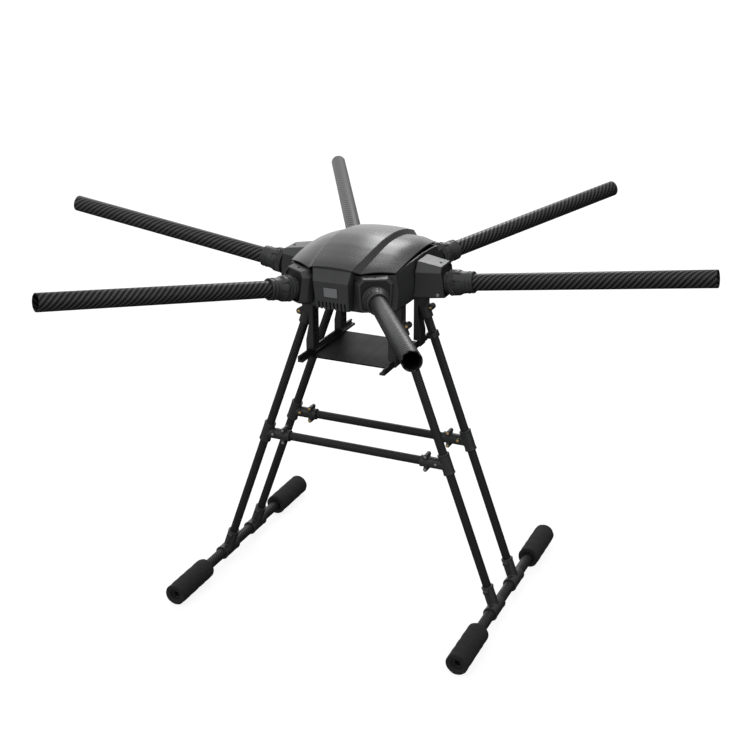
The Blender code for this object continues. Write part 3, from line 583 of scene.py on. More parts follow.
STEP_REACH, STRIP_REACH, EDGE_REACH = 0.1418, 0.1315, 0.0970
PANEL = 20
for side, sign in (("left", -1.0), ("right", 1.0)):
    columns = []
    for step in range(PANEL + 4):
        t, w = min(1.0, step / 3), max(0.0, (step - 3) / PANEL)
        col = []
        for v in STATIONS:
            top, half = ramp(v * NOSE_END), centre_half(v * NOSE_END)
            strip_x = half + 0.0078 + 0.0025 * abs(v) ** 3
            strip_z = top - 0.0078 + 0.0013 * v * v
            edge_x = 0.1005 - 0.00275 * v - 0.00375 * v * v
            edge_z = 0.0717 + 0.0035 * v - 0.0080 * v * v - (0.0038 * v ** 3 if v > 0 else 0.0)
            if step < 4:
                x = (half + 0.0004) * (1 - t) + strip_x * t
                z = (top - 0.0004) * (1 - t) + strip_z * t
                y = v * (STEP_REACH + (STRIP_REACH - STEP_REACH) * t)
            else:
                x = strip_x * (1 - w) + edge_x * w
                z = strip_z * (1 - w) + edge_z * w + 0.0025 * math.sin(math.pi * w)
                y = v * (STRIP_REACH + (EDGE_REACH - STRIP_REACH) * w)
            col.append((sign * x, y, z))
        columns.append(col)
    place(to_mesh(grid_shell(columns, 0.0020), f"canopy_{side}_skin"), f"canopy_{side}_skin", CANOPY, "canopy", UP,
          f"canopy_{side}", bevel=(0.0006, 3, 24.0))


# ---------------------------------------------------------------- body tub
def tub_outline(walls, y_wall, facet, cuts):
    c, s = math.cos(math.radians(60)), math.sin(math.radians(60))
    corner, middle = walls
    x_nose = (facet - s * y_wall) / c
    y_side = (facet - c * corner) / s
    side = [(corner, -y_side)]
    for y in cuts:
        side.append((middle + (corner - middle) * max(0.0, (abs(y) - SIDE_FLAT) / (y_side - SIDE_FLAT)), y))
    side.append((corner, y_side))
    points = [(x_nose, -y_wall)] + side + [(x_nose, y_wall)]
    return points + [(-x, -y) for x, y in points]


CUTS = tuple(-0.084 + 0.006 * k for k in range(29))


def tub_top(x, y):
    if abs(x) < TOP_X[0] - 0.001:
        return 0.0560
    return 0.0560 + 0.0107 * (1 - min(1.0, abs(y) / 0.0981) ** 2.2)


def inset(walls):
    return tuple(x - TUB_WALL for x in walls)


outer = tub_outline(TOP_X, WALL_Y, FACET, CUTS)
tops = [tub_top(x, y) for x, y in outer]
thin = (WALL_Y - TUB_WALL, FACET - TUB_WALL, CUTS)
rings = [
    [(x, y, z) for (x, y), z in zip(outer, tops)],
    [(x, y, TUB_BEND) for x, y in tub_outline(BEND_X, WALL_Y, FACET, CUTS)],
    [(x, y, TUB_FLOOR) for x, y in tub_outline(FLOOR_X, WALL_Y, FACET, CUTS)],
    [(x, y, TUB_FLOOR) for x, y in tub_outline(inset(FLOOR_X), *thin)],
    [(x, y, TUB_BEND) for x, y in tub_outline(inset(BEND_X), *thin)],
    [(x, y, z) for (x, y), z in zip(tub_outline(inset(TOP_X), *thin), tops)],
]
holes = []
for name in ARMS:
    mesh = to_mesh(lathe(rod(0.06, 0.16, 0.0192), 48), "hole")
    mesh.transform(UP.inverted() @ FRAMES[name])
    holes.append(mesh)
tub = worked(to_mesh(skin(rings, cap=False, closed=True), "body_shell_skin"), cuts=holes)
place(tub, "body_shell_skin", SHELL, "airframe", UP, "body_shell", bevel=(0.0006, 2, 24.0))

# Bosses inside the tub, round the power board.
bm = bmesh.new()
for sx, sy in ((1, 1), (-1, 1), (-1, -1), (1, -1)):
    add(bm, lathe([(TUB_FLOOR, 0.0), (TUB_FLOOR, 0.0042), (0.0120, 0.0034), (0.0120, 0.0016), (0.0040, 0.0016), (0.0040, 0.0)], 24, "Z"),
        Matrix.Translation((sx * 0.062, sy * 0.060, 0)))
place(to_mesh(bm, "tub_bosses", 0), "tub_bosses", SHELL, "airframe", UP)

plate = tub_outline(tuple(x - 0.0005 for x in FLOOR_X), WALL_Y - 0.0005, FACET - 0.0005, (-SIDE_FLAT, SIDE_FLAT))
place(to_mesh(skin([[(x, y, TUB_FLOOR - GAP - 0.003) for x, y in plate], [(x, y, TUB_FLOOR - GAP) for x, y in plate]]), "base_plate_skin"),
      "base_plate_skin", ALLOY, "airframe", UP, "base_plate", bevel=(0.0006, 2, 24.0))

# Power board: laminate, solder lugs, a row of capacitors and a shunt.
board = to_mesh(slab(rounded(0.045, 0.036, 0.003), TUB_FLOOR, TUB_FLOOR + 0.0020), "power_board_skin")
place(board, "power_board_skin", BOARD, "airframe", UP, "power_board", bevel=(0.0002, 2, 30.0))
bm = bmesh.new()
for k in range(6):
    angle = math.radians(60 * k)
    x, y = 0.034 * math.cos(angle), 0.026 * math.sin(angle)
    add(bm, slab(rounded(0.0050, 0.0040, 0.0010, 3, x, y), TUB_FLOOR + 0.0018, TUB_FLOOR + 0.0032))
    add(bm, lathe([(0.0, 0.0), (0.0, 0.0031), (0.0016, 0.0029), (0.0030, 0.0019), (0.0034, 0.0)], 20, "Z"),
        Matrix.Translation((x, y, TUB_FLOOR + 0.0030)))
place(to_mesh(bm, "solder_lugs", 0), "solder_lugs", GOLD, "airframe", UP)
bm = bmesh.new()
for k in range(5):
    add(bm, lathe(rod(0.0, 0.0052, 0.0026, 0.0006), 24, "Z"), Matrix.Translation((-0.0130 + 0.0065 * k, 0.0, TUB_FLOOR + 0.0020)))
add(bm, slab(rounded(0.0060, 0.0035, 0.0006, 3, 0.0, 0.0140), TUB_FLOOR + 0.0020, TUB_FLOOR + 0.0042))
add(bm, slab(rounded(0.0060, 0.0035, 0.0006, 3, 0.0, -0.0140), TUB_FLOOR + 0.0020, TUB_FLOOR + 0.0042))
place(to_mesh(bm, "board_parts", 0), "board_parts", SEAL, "airframe", UP)

# ---------------------------------------------------------------- nose and tail
COVER = ((0.0365, 0.1410, 0.0656), (0.0332, 0.1492, 0.0450), (0.0318, 0.1445, 0.0105), (0.0312, 0.1410, -0.0060))


def capsule(half_x, y0, y1, z0, z1, steps=5):
    """A slot cutter along Y with round ends, in the X-Z plane."""
    outline = []
    for k in range(steps + 1):
        a = math.pi * k / steps
        outline.append((half_x * math.cos(a), z1 - half_x + half_x * math.sin(a)))
    for k in range(steps + 1):
        a = math.pi + math.pi * k / steps
        outline.append((half_x * math.cos(a), z0 + half_x + half_x * math.sin(a)))
    return skin([[(x, y0, z) for x, z in outline], [(x, y1, z) for x, z in outline]])


for name, way in (("nose_cover", -1.0), ("tail_cover", 1.0)):
    rows = []
    for half, out, z in COVER:
        rows.append([
            (-half - 0.0030, way * (WALL_Y + 0.0004), z), (-half, way * (out - 0.0010), z), (-half + 0.0015, way * out, z),
            (half - 0.0015, way * out, z), (half, way * (out - 0.0010), z), (half + 0.0030, way * (WALL_Y + 0.0004), z),
            (half - 0.0020, way * (WALL_Y + 0.0004), z), (half - 0.0030, way * (out - 0.0030), z),
            (-half + 0.0030, way * (out - 0.0030), z), (-half + 0.0020, way * (WALL_Y + 0.0004), z),
        ])
    cutters = []
    for k in range(8):
        lo, hi = sorted((way * 0.135, way * 0.152))
        cutter = capsule(0.0013, lo, hi, -0.0120, 0.0085)
        bmesh.ops.translate(cutter, verts=cutter.verts, vec=(-0.0245 + 0.0070 * k, 0, 0))
        cutters.append(to_mesh(cutter, "slot"))
    cover = worked(to_mesh(skin(rows), name + "_skin"), cuts=cutters)
    place(cover, name + "_skin", COVER_LOOK, "airframe", UP, name, bevel=(0.0004, 2, 20.0))
    # A thin rib on the cover that the edge of the lid sits over.
    rib = []
    for k in range(25):
        a = -1.0 + 2.0 * k / 24
        x = a * 0.0345
        rib.append((x, ramp(way * 0.1395) + 0.0027 * (1 - (x / centre_half(way * 0.1395)) ** 2) - 0.0025))
    outline = rib + [(0.0345, 0.0600), (-0.0345, 0.0600)]
    lo, hi = sorted((way * 0.1372, way * 0.1397))
    place(to_mesh(skin([[(x, lo, z) for x, z in outline], [(x, hi, z) for x, z in outline]])), name + "_rib", COVER_LOOK, "airframe", UP)
    # A dark sheet behind the slots: painted shade for the dark inside seen through them.
    lo, hi = sorted((way * 0.1375, way * 0.1362))
    shade_sheet = block((-0.0290, lo, -0.0055), (0.0290, hi, 0.0105))
    place(to_mesh(shade_sheet, name + "_screen"), name + "_screen", SEAL, "airframe", UP, bevel=(0.0002, 1))

slope = math.atan2(0.1492 - 0.1445, 0.0450 - 0.0105)
badge = Matrix.Translation((0, -0.14700, 0.0268)) @ Matrix.Rotation(slope, 4, "X")
plate = to_mesh(slab(rounded(0.0125, 0.0082, 0.0012, 4), 0.0003, 0.0014), "label_plate_skin")
recess = to_mesh(slab(rounded(0.0117, 0.0074, 0.0008, 4), 0.0011, 0.0030), "label_recess")
face_out = Matrix(((1, 0, 0, 0), (0, 0, -1, 0), (0, 1, 0, 0), (0, 0, 0, 1)))
place(worked(plate, cuts=[recess]), "label_plate_skin", LABEL, "airframe", UP @ badge @ face_out, "label_plate", bevel=(0.00015, 2, 30.0))

# ---------------------------------------------------------------- arm sockets
KNEE = 0.0100


def rim(half_top, h_top, half_mid, h_mid, half_low, h_low, half_bot, h_bot, s_of):
    half_knee = half_mid + (half_low - half_mid) * (h_mid - KNEE) / (h_mid - h_low)
    right = [(half_top, h_top), (half_mid, h_mid), (half_knee, KNEE), (half_low, h_low), (half_bot, h_bot)]
    return [(s_of(h), t, h) for t, h in right + [(-t, h) for t, h in reversed(right)]]


def wall_s(long):
    def s_of(h):
        s = ((BEND_X[1] if long else FACET) + 0.0006 + h * SIN) / COS
        z = s * SIN + h * COS
        if long and z < TUB_BEND:
            s -= (BEND_X[1] - FLOOR_X[1]) * (TUB_BEND - z) / (TUB_BEND - TUB_FLOOR) / COS
        return s
    return s_of


def inner_face(shrink, s0, s1):
    """The recess in the socket's outer face."""
    face = [(0.0206 - shrink, 0.0337 - shrink), (0.0286 - shrink, 0.0241 - shrink * 0.4), (0.0258 - shrink, -0.0185 + shrink * 0.4), (0.0215 - shrink, -0.0220 + shrink)]
    outline = face + [(-t, h) for t, h in reversed(face)]
    return skin([[(s0, t, h) for t, h in outline], [(s1, t, h) for t, h in outline]])


def socket_mesh(long):
    if long:
        rows = [rim(0.0235, 0.0468, 0.0345, 0.0287, 0.0312, -0.0165, 0.0285, -0.0205, wall_s(True))]
        face = rim(0.0208, 0.0337, 0.0287, 0.0243, 0.0258, -0.0185, 0.0215, -0.0220, lambda h: SOCKET_FACE)
    else:
        rows = [rim(0.0237, 0.0388, 0.0336, 0.0262, 0.0300, -0.0185, 0.0250, -0.0235, wall_s(False)),
                rim(0.0231, 0.0372, 0.0334, 0.0255, 0.0295, -0.0190, 0.0250, -0.0235, lambda h: 0.1470)]
        face = rim(0.0205, 0.0337, 0.0285, 0.0240, 0.0258, -0.0185, 0.0215, -0.0220, lambda h: SOCKET_FACE)
    rows.append(face)
    bm = skin(rows, cap=False)
    bm.verts.ensure_lookup_table()
    last = len(bm.verts) - 10
    bm.faces.new([bm.verts[i] for i in (0, 1, 2, 7, 8, 9)])
    bm.faces.new([bm.verts[i] for i in (2, 3, 4, 5, 6, 7)])
    bm.faces.new([bm.verts[last + i] for i in range(10)])
    return to_mesh(bm, "arm_socket_skin")


for long in (False, True):
    collar = to_mesh(lathe([(0.0950 if long else 0.1020, 0.0), (0.0950 if long else 0.1020, COLLAR_R), (0.1570, COLLAR_R), (0.1585, COLLAR_R + 0.0008),
                            (0.1600, COLLAR_R + 0.0008), (0.1606, COLLAR_R - 0.0002), (COLLAR_END - 0.0006, COLLAR_R - 0.0002),
                            (COLLAR_END, COLLAR_R - 0.0008), (COLLAR_END, 0.0)], FINE), "collar")
    bore = to_mesh(lathe(rod(0.0700, 0.2000, SOCKET_BORE), FINE), "bore")
    pocket = to_mesh(inner_face(0.0026, SOCKET_FACE - 0.0026, SOCKET_FACE + 0.004), "pocket")
    base = worked(socket_mesh(long), bevel=(0.0009, 2, 12.0))
    base = worked(base, cuts=[pocket])
    mesh = worked(base, joins=[collar], cuts=[bore])
    # The pocket's floor takes the darker plastic: painted shade.
    recess = {face.index for face in mesh.polygons if face.normal.x > 0.9 and abs(face.center.x - SOCKET_FACE + 0.0026) < 0.0002}
    for name in ARMS:
        if (name in LONG) == long:
            piece = place(copied(mesh, Matrix(), f"arm_socket_{name}_skin"), f"arm_socket_{name}_skin", [SHELL, POCKET_SHADE], "airframe", FRAMES[name],
                  f"arm_socket_{name}", sharp=30.0, flat=True)
            for face in piece.data.polygons:
                face.material_index = 1 if face.index in recess else 0

# ---------------------------------------------------------------- arms
tube = to_mesh(lathe([(ARM_ROOT + 0.0142, ARM_BORE), (ARM_ROOT + 0.0002, ARM_BORE), (ARM_ROOT + 0.0002, ARM_R - 0.0012), (ARM_ROOT + 0.0012, ARM_R),
                      (ARM_END - 0.0004, ARM_R), (ARM_END - 0.0001, ARM_R - 0.00015), (ARM_END, ARM_R - 0.0005), (ARM_END, ARM_BORE + 0.0003),
                      (ARM_END - 0.0003, ARM_BORE)], 96), "arm_tube_skin")
plug = lathe([(ARM_ROOT + 0.0008, 0.0), (ARM_ROOT + 0.0008, 0.0112), (ARM_ROOT, 0.0122), (ARM_ROOT, 0.01285), (ARM_ROOT + 0.0142, 0.01285),
              (ARM_ROOT + 0.0142, 0.0)], 48)
plug_mesh = to_mesh(plug, "arm_plug")
pins = bmesh.new()
for k in range(3):
    a = math.radians(90 + 120 * k)
    add(pins, lathe([(ARM_ROOT + 0.0002, 0.0), (ARM_ROOT + 0.0002, 0.0022), (ARM_ROOT + 0.0005, 0.0026), (ARM_ROOT + 0.0020, 0.0026), (ARM_ROOT + 0.0020, 0.0)], 20),
        Matrix.Translation((0, 0.0060 * math.cos(a), 0.0060 * math.sin(a))))
pin_mesh = to_mesh(pins, "arm_contacts", 0)
for name in ARMS:
    piece = place(tube.copy(), f"arm_tube_{name}_skin", CARBON, f"arm_{name}", FRAMES[name], f"arm_tube_{name}", sharp=40.0)
    place(plug_mesh.copy(), f"arm_plug_{name}", PLUG_LOOK, f"arm_{name}", FRAMES[name])
    place(pin_mesh.copy(), f"arm_contacts_{name}", GOLD, f"arm_{name}", FRAMES[name])

# ---------------------------------------------------------------- lock nuts
RIBS, LOBES, NUT_SIDES = 54, 9, 432


def ease(t):
    t = max(0.0, min(1.0, t))
    return t * t * (3 - 2 * t)


NUT_PROFILE = ((0.1655, 0.0222), (0.1658, 0.0230), (0.1664, 0.0233), (0.1674, 0.0233), (0.1679, 0.0229), (0.1683, 0.0221), (0.1690, 0.0219),
               (0.1705, 0.0219), (0.1722, 0.0219), (0.1738, 0.0219), (0.1748, 0.0220), (0.1756, 0.0223), (0.1764, 0.0226), (0.1775, 0.0227),
               (0.1795, 0.0227), (0.1812, 0.0226), (0.1826, 0.0223), (0.1838, 0.0217), (0.1850, 0.0210), (0.1862, 0.0204), (0.1876, 0.0200),
               (0.1900, 0.0196), (0.1928, 0.0193), (0.1952, 0.0191), (0.1968, 0.0190), (0.1976, 0.0192), (0.1982, 0.0196), (0.1990, 0.0197),
               (0.2002, 0.0197), (0.2008, 0.0194), (0.2014, 0.0188), (0.2032, 0.0187), (0.2040, 0.0189), (0.2048, 0.0193), (0.2072, 0.0193),
               (0.2081, 0.0190), (0.2087, 0.0183))
rings = []
for s, r in NUT_PROFILE:
    ring = []
    in_ribs = ease((s - 0.1680) / 0.0008) * ease((0.1756 - s) / 0.0010)
    in_lobes = ease((s - 0.1752) / 0.0012) * ease((0.1890 - s) / 0.0030)
    for k in range(NUT_SIDES):
        a = 2 * math.pi * k / NUT_SIDES
        wave = math.cos(RIBS * a)
        rib = 0.00095 * ease(0.5 + 0.9 * wave) * in_ribs
        # Grip pads with a narrow groove between them, arched towards the ribs.
        phase = (a * LOBES / (2 * math.pi)) % 1.0
        from_edge = min(phase, 1.0 - phase)
        groove = 1.0 - ease((from_edge - 0.035) / 0.05)
        arch = ease((0.1776 - s) / 0.0020) * ease((abs(phase - 0.5) - 0.22) / 0.20)
        r_here = r + rib - in_lobes * (0.0022 * groove + 0.0012 * arch)
        ring.append((s, r_here * math.cos(a), r_here * math.sin(a)))
    rings.append(ring)
for s, r in ((0.2087, 0.0166), (0.2080, 0.0160), (0.1805, 0.0160), (0.1805, 0.0190), (0.1655, 0.0193)):
    rings.append([(s, r * math.cos(2 * math.pi * k / NUT_SIDES), r * math.sin(2 * math.pi * k / NUT_SIDES)) for k in range(NUT_SIDES)])
nut_mesh = to_mesh(skin(rings, cap=False, closed=True), "lock_nut_skin", 0)
seal_mesh = to_mesh(lathe([(0.2062, 0.0152), (0.2062, 0.0159), (0.2084, 0.0160), (0.2087, 0.0157), (0.2084, 0.0152)], 64), "nut_seal")
for name in ARMS:
    place(nut_mesh.copy(), f"lock_nut_{name}_skin", NUT_LOOK, f"nut_{name}", FRAMES[name], f"lock_nut_{name}", sharp=38.0)
    place(seal_mesh.copy(), f"nut_seal_{name}", SEAL, f"nut_{name}", FRAMES[name])

# ---------------------------------------------------------------- rails and tray
for side, sign in (("left", -1.0), ("right", 1.0)):
    outline = [(0.0, 0.0), (0.0, RAIL_H), (-0.0040, RAIL_H), (-0.0040, 0.0078), (-0.0028, 0.0070), (-0.0028, 0.0052), (-0.0040, 0.0044), (-0.0040, 0.0040),
               (-RAIL_W, 0.0040), (-RAIL_W, 0.0)]
    rows = [[(sign * (RAIL_X + dx), y, RAIL_BOTTOM + dz) for dx, dz in outline] for y in (-RAIL_HALF, RAIL_HALF)]
    rail = to_mesh(skin(rows), f"payload_rail_{side}_skin")
    for face in rail.polygons:
        face.material_index = 1 if abs(face.normal.y) > 0.9 else 0
    place(rail, f"payload_rail_{side}_skin", [ALLOY, CUT_END], "airframe", UP,
          f"payload_rail_{side}", bevel=(0.0004, 2, 30.0))
tray_top = RAIL_BOTTOM - GAP
place(to_mesh(slab(rounded(TRAY_X, TRAY_Y, 0.0030), tray_top - TRAY_T, tray_top), "payload_tray_skin"), "payload_tray_skin", TRAY_LOOK, "airframe", UP,
      "payload_tray", bevel=(0.0004, 2, 30.0))
LEG_DIR = (LEG_FOOT - LEG_TOP).normalized()


def leg_x(z):
    return LEG_TOP.x + (z - LEG_TOP.z) / (LEG_FOOT.z - LEG_TOP.z) * (LEG_FOOT.x - LEG_TOP.x)


# ---------------------------------------------------------------- posts, brackets, legs, tees
CX = leg_x(BAR_Z)
rail_top = RAIL_BOTTOM + RAIL_H + GAP
out = RAIL_X + GAP
post_outline = [(POST_IN, FLOOR_UNDER - GAP), (POST_OUT, FLOOR_UNDER - GAP), (POST_OUT, -0.0660), (0.0880, -0.0960),
                (0.0880, -0.1240), (out, -0.1240), (out, rail_top), (POST_IN, rail_top)]
post = to_mesh(skin([[(x, y, z) for x, z in post_outline] for y in (POST_Y0, POST_Y1)]), "hanger_post_skin")
pockets = []
for k in range(7):
    z = -0.0280 - 0.0120 * k
    pockets.append(to_mesh(block((POST_IN - 0.001, POST_Y0 + 0.004, z - 0.0038), (POST_IN + 0.002, POST_Y1 - 0.004, z + 0.0038)), "pocket"))
# A long panel is let into the outer face as well.
pockets.append(to_mesh(block((POST_OUT - 0.0010, POST_Y0 + 0.0045, -0.0600), (POST_OUT + 0.001, POST_Y1 - 0.0045, -0.0500)), "pocket"))
post = worked(post, cuts=pockets)

bracket = worked(
    to_mesh(block((0.0825, LEG_Y - 0.0110, -0.0450), (0.0970, LEG_Y + 0.0110, FLOOR_UNDER - GAP)), "leg_bracket_skin"),
    joins=[copied(to_mesh(lathe(rod(-0.0140, 0.0190, 0.0112), 40)), along(LEG_TOP, LEG_FOOT), "sleeve"),
           copied(to_mesh(lathe(rod(-0.0070, 0.0070, 0.0060), 32, "Y")), Matrix.Translation((0.1050, LEG_Y, -0.0465)), "ear"),
           to_mesh(block((0.0950, LEG_Y - 0.0065, -0.0505), (0.1050, LEG_Y + 0.0065, -0.0425)), "web")],
    cuts=[to_mesh(block((0.0600, LEG_Y - 0.03, -0.1), (0.0825, LEG_Y + 0.03, 0.0)), "trim")],
    remesh=0.0006, smooth=5,
    late_cuts=[copied(to_mesh(lathe(rod(0.0030, 0.0400, LEG_R + 0.0003), 48)), along(LEG_TOP, LEG_FOOT), "seat")])

centre = Vector((CX, LEG_Y, BAR_Z))
LUG_X = CX - 0.0380
bar_line = Matrix.Translation((0, BAR_Y, BAR_Z))


def merged(*meshes):
    """One mesh of several overlapping shells, for a remesh that unites them."""
    bm = bmesh.new()
    for mesh in meshes:
        bm.from_mesh(mesh)
        bpy.data.meshes.remove(mesh)
    out = bpy.data.meshes.new("merged")
    bm.to_mesh(out)
    bm.free()
    return out


def boss(radius, y0, y1, x, z):
    return copied(to_mesh(lathe(rod(y0, y1, radius), 32, "Y")), bar_line @ Matrix.Translation((x, 0, z)), "boss")


cross = worked(
    merged(copied(to_mesh(lathe(rod(-0.0225, 0.0175, 0.0107), 48)), along(centre, LEG_FOOT), "sleeve"),
           copied(to_mesh(lathe(rod(CX - 0.0500, CX, 0.0103), 48)), bar_line, "branch"),
           boss(0.0042, -0.0100, 0.0100, LUG_X, 0.0126), boss(0.0042, -0.0100, 0.0100, LUG_X, -0.0126),
           copied(to_mesh(block((-0.0036, -0.0092, -0.0126), (0.0036, 0.0092, 0.0126))), bar_line @ Matrix.Translation((LUG_X, 0, 0)), "web"),
           boss(0.0048, -0.0116, 0.0116, CX - 0.0175, 0.0020),
           copied(to_mesh(lathe(rod(CX - 0.0495, CX - 0.0470, 0.0109), 48)), bar_line, "ring"),
           copied(to_mesh(lathe(rod(-0.0220, -0.0192, 0.0113), 48)), along(centre, LEG_FOOT), "ring"),
           copied(to_mesh(lathe(rod(0.0142, 0.0170, 0.0113), 48)), along(centre, LEG_FOOT), "ring")),
    remesh=0.0006, smooth=4,
    late_cuts=[copied(to_mesh(lathe(rod(-0.0400, 0.0400, LEG_R + 0.0003), 48)), along(centre, LEG_FOOT), "leg"),
               copied(to_mesh(lathe(rod(CX - 0.0700, CX - 0.0128, LEG_R + 0.0003), 48)), bar_line, "bar")])

skid_line = Matrix.Translation((SKID_X, 0, SKID_Z))
foot = along(LEG_FOOT, LEG_TOP)
skid_tee = worked(
    merged(copied(to_mesh(lathe(rod(LEG_Y - 0.0250, LEG_Y + 0.0250, 0.0131), 48, "Y")), skid_line, "sleeve"),
           copied(to_mesh(lathe(rod(0.0, 0.0460, 0.0107), 48)), foot, "socket"),
           copied(to_mesh(lathe(rod(0.0425, 0.0455, 0.0113), 48)), foot, "ring"),
           copied(to_mesh(lathe(rod(LEG_Y - 0.0248, LEG_Y - 0.0215, 0.0137), 48, "Y")), skid_line, "ring"),
           copied(to_mesh(lathe(rod(LEG_Y + 0.0215, LEG_Y + 0.0248, 0.0137), 48, "Y")), skid_line, "ring"),
           copied(to_mesh(lathe(rod(-0.0050, 0.0050, 0.0040), 32, "Z")), foot @ Matrix.Translation((0.0390, 0.0125, 0)), "ear"),
           copied(to_mesh(lathe(rod(-0.0050, 0.0050, 0.0040), 32, "Z")), foot @ Matrix.Translation((0.0390, -0.0125, 0)), "ear")),
    remesh=0.0006, smooth=4,
    late_cuts=[copied(to_mesh(lathe(rod(0.0125, 0.0700, LEG_R + 0.0003), 48)), foot, "leg"),
               copied(to_mesh(lathe(rod(LEG_Y - 0.04, LEG_Y + 0.04, SKID_R + 0.0003), 56, "Y")), skid_line, "skid")])

length = (LEG_FOOT - LEG_TOP).length
leg = to_mesh(lathe(pipe(0.0040, length - 0.0129, LEG_BORE, LEG_R), 64), "leg_tube_skin")


# Foam sleeve: a soft cylinder whose skin is slightly uneven, pulled in at its ends.
def foam_sleeve(seed):
    n_a, n_r = 72, 96
    rings = []
    length = FOAM_OUT - FOAM_IN

    def uneven(a, t):
        return (0.00022 * math.sin(3 * t * 9 + 2 * a + seed) + 0.00018 * math.sin(5 * a + 21 * t + 1.7 * seed)
                + 0.00012 * math.sin(9 * a - 33 * t + 0.6 * seed))

    rows = []
    e = 0.0028
    for k in range(8):
        a = math.pi / 2 * k / 8
        rows.append((FOAM_IN + e - e * math.cos(a), FOAM_R - 0.0002 - e + e * math.sin(a)))
    for k in range(n_a + 1):
        rows.append((FOAM_IN + e + (length - 2 * e) * k / n_a, FOAM_R - 0.0002))
    for k in range(1, 9):
        a = math.pi / 2 * k / 8
        rows.append((FOAM_OUT - e + e * math.sin(a), FOAM_R - 0.0002 - e + e * math.cos(a)))
    for y, r in rows:
        t = (y - FOAM_IN) / length
        rings.append([((r + min(0.0002, uneven(a, t))) * math.cos(a), y, (r + min(0.0002, uneven(a, t))) * math.sin(a))
                      for a in (2 * math.pi * i / n_r for i in range(n_r))])
    # End face, sunk ring, bore, and back.
    for y, r in ((FOAM_OUT, 0.0150), (FOAM_OUT - 0.0003, 0.0125), (FOAM_OUT - 0.0009, 0.0112), (FOAM_OUT - 0.0022, FOAM_BORE), (FOAM_IN + 0.0016, FOAM_BORE),
                 (FOAM_IN + 0.0006, 0.0114), (FOAM_IN, 0.0128)):
        rings.append([(r * math.cos(2 * math.pi * i / n_r), y, r * math.sin(2 * math.pi * i / n_r)) for i in range(n_r)])
    return to_mesh(skin(rings, cap=False, closed=True), "foam_sleeve_skin", 0)


# End cap pressed into a skid tube: a flange with a six-lobed hole.
def lobed(y, r, depth, n=48):
    return [((r + depth * math.cos(6 * a)) * math.cos(a), y, (r + depth * math.cos(6 * a)) * math.sin(a)) for a in (2 * math.pi * i / n for i in range(n))]


def circle_y(y, r, n=48):
    return [(r * math.cos(2 * math.pi * i / n), y, r * math.sin(2 * math.pi * i / n)) for i in range(n)]


cap = to_mesh(skin([circle_y(SKID_HALF - 0.0100, 0.0088), circle_y(SKID_HALF + 0.0002, 0.0088), circle_y(SKID_HALF + 0.0002, 0.0099), circle_y(SKID_HALF + 0.0014, 0.0099),
                    circle_y(SKID_HALF + 0.0020, 0.0093), lobed(SKID_HALF + 0.0020, 0.0062, 0.0010), lobed(SKID_HALF + 0.0014, 0.0058, 0.0010),
                    lobed(SKID_HALF - 0.0080, 0.0056, 0.0010)]), "skid_cap")

brass, steel, dark = [], [], []
for index, (name, sx, sy) in enumerate(QUADS):
    f = flip(sx, sy)
    place(copied(post, f, "hanger_post_skin"), f"hanger_post_{name}_skin", FITTING, "airframe", UP, f"hanger_post_{name}", bevel=(0.0005, 2, 30.0))
    place(copied(bracket, f, "leg_bracket_skin"), f"leg_bracket_{name}_skin", FITTING, "airframe", UP, f"leg_bracket_{name}", sharp=48.0)
    place(copied(cross, f, "cross_tee_skin"), f"cross_tee_{name}_skin", FITTING, "airframe", UP, f"cross_tee_{name}", sharp=48.0)
    place(copied(skid_tee, f, "skid_tee_skin"), f"skid_tee_{name}_skin", FITTING, "airframe", UP, f"skid_tee_{name}", sharp=48.0)
    top = UP @ Vector((sx * LEG_TOP.x, sy * LEG_TOP.y, LEG_TOP.z))
    low = UP @ Vector((sx * LEG_FOOT.x, sy * LEG_FOOT.y, LEG_FOOT.z))
    place(leg.copy(), f"leg_tube_{name}_skin", CARBON_MATT, "airframe", along(top, low), f"leg_tube_{name}", sharp=40.0)
    sleeve = foam_sleeve(1.3 * index)
    sleeve.transform(Matrix.Diagonal((1, sy, 1, 1)))
    if sy < 0:
        sleeve.flip_normals()
    piece = place(sleeve, f"foam_sleeve_{name}_skin", FOAM, "airframe", UP @ Matrix.Translation((sx * SKID_X, 0, SKID_Z)), f"foam_sleeve_{name}", sharp=0)
    place(copied(cap, Matrix.Diagonal((1, sy, 1, 1)), "skid_cap"), f"skid_cap_{name}", SEAL, "airframe", UP @ Matrix.Translation((sx * SKID_X, 0, SKID_Z)))
    heads = brass if sy > 0 else steel
    tails = dark
    for z in (0.0126, -0.0126):
        heads.append(((sx * LUG_X, sy * BAR_Y - 0.0100, BAR_Z + z), (0, -1, 0)))
        tails.append(((sx * LUG_X, sy * BAR_Y + 0.0100, BAR_Z + z), (0, 1, 0)))
    heads.append(((sx * (CX - 0.0175), sy * BAR_Y - 0.0116, BAR_Z + 0.0020), (0, -1, 0)))
    tails.append(((sx * (CX - 0.0175), sy * BAR_Y + 0.0116, BAR_Z + 0.0020), (0, 1, 0)))
    brass.append(((sx * 0.1050, sy * LEG_Y - 0.0070, -0.0465), (0, -1, 0)))
    dark.append(((sx * 0.1050, sy * LEG_Y + 0.0070, -0.0465), (0, 1, 0)))
    dark.append(((sx * 0.0880, sy * 0.0590, -0.1100), (sx, 0, 0)))

screws("brass_screws", BRASS, "airframe", [(UP @ Vector(p), d) for p, d in brass], 0.0029, 0.0016)
screws("steel_screws", STEEL, "airframe", [(UP @ Vector(p), d) for p, d in steel], 0.0027, 0.0014)
screws("fitting_screws", OXIDE, "airframe", [(UP @ Vector(p), d) for p, d in dark], 0.0028, 0.0016)

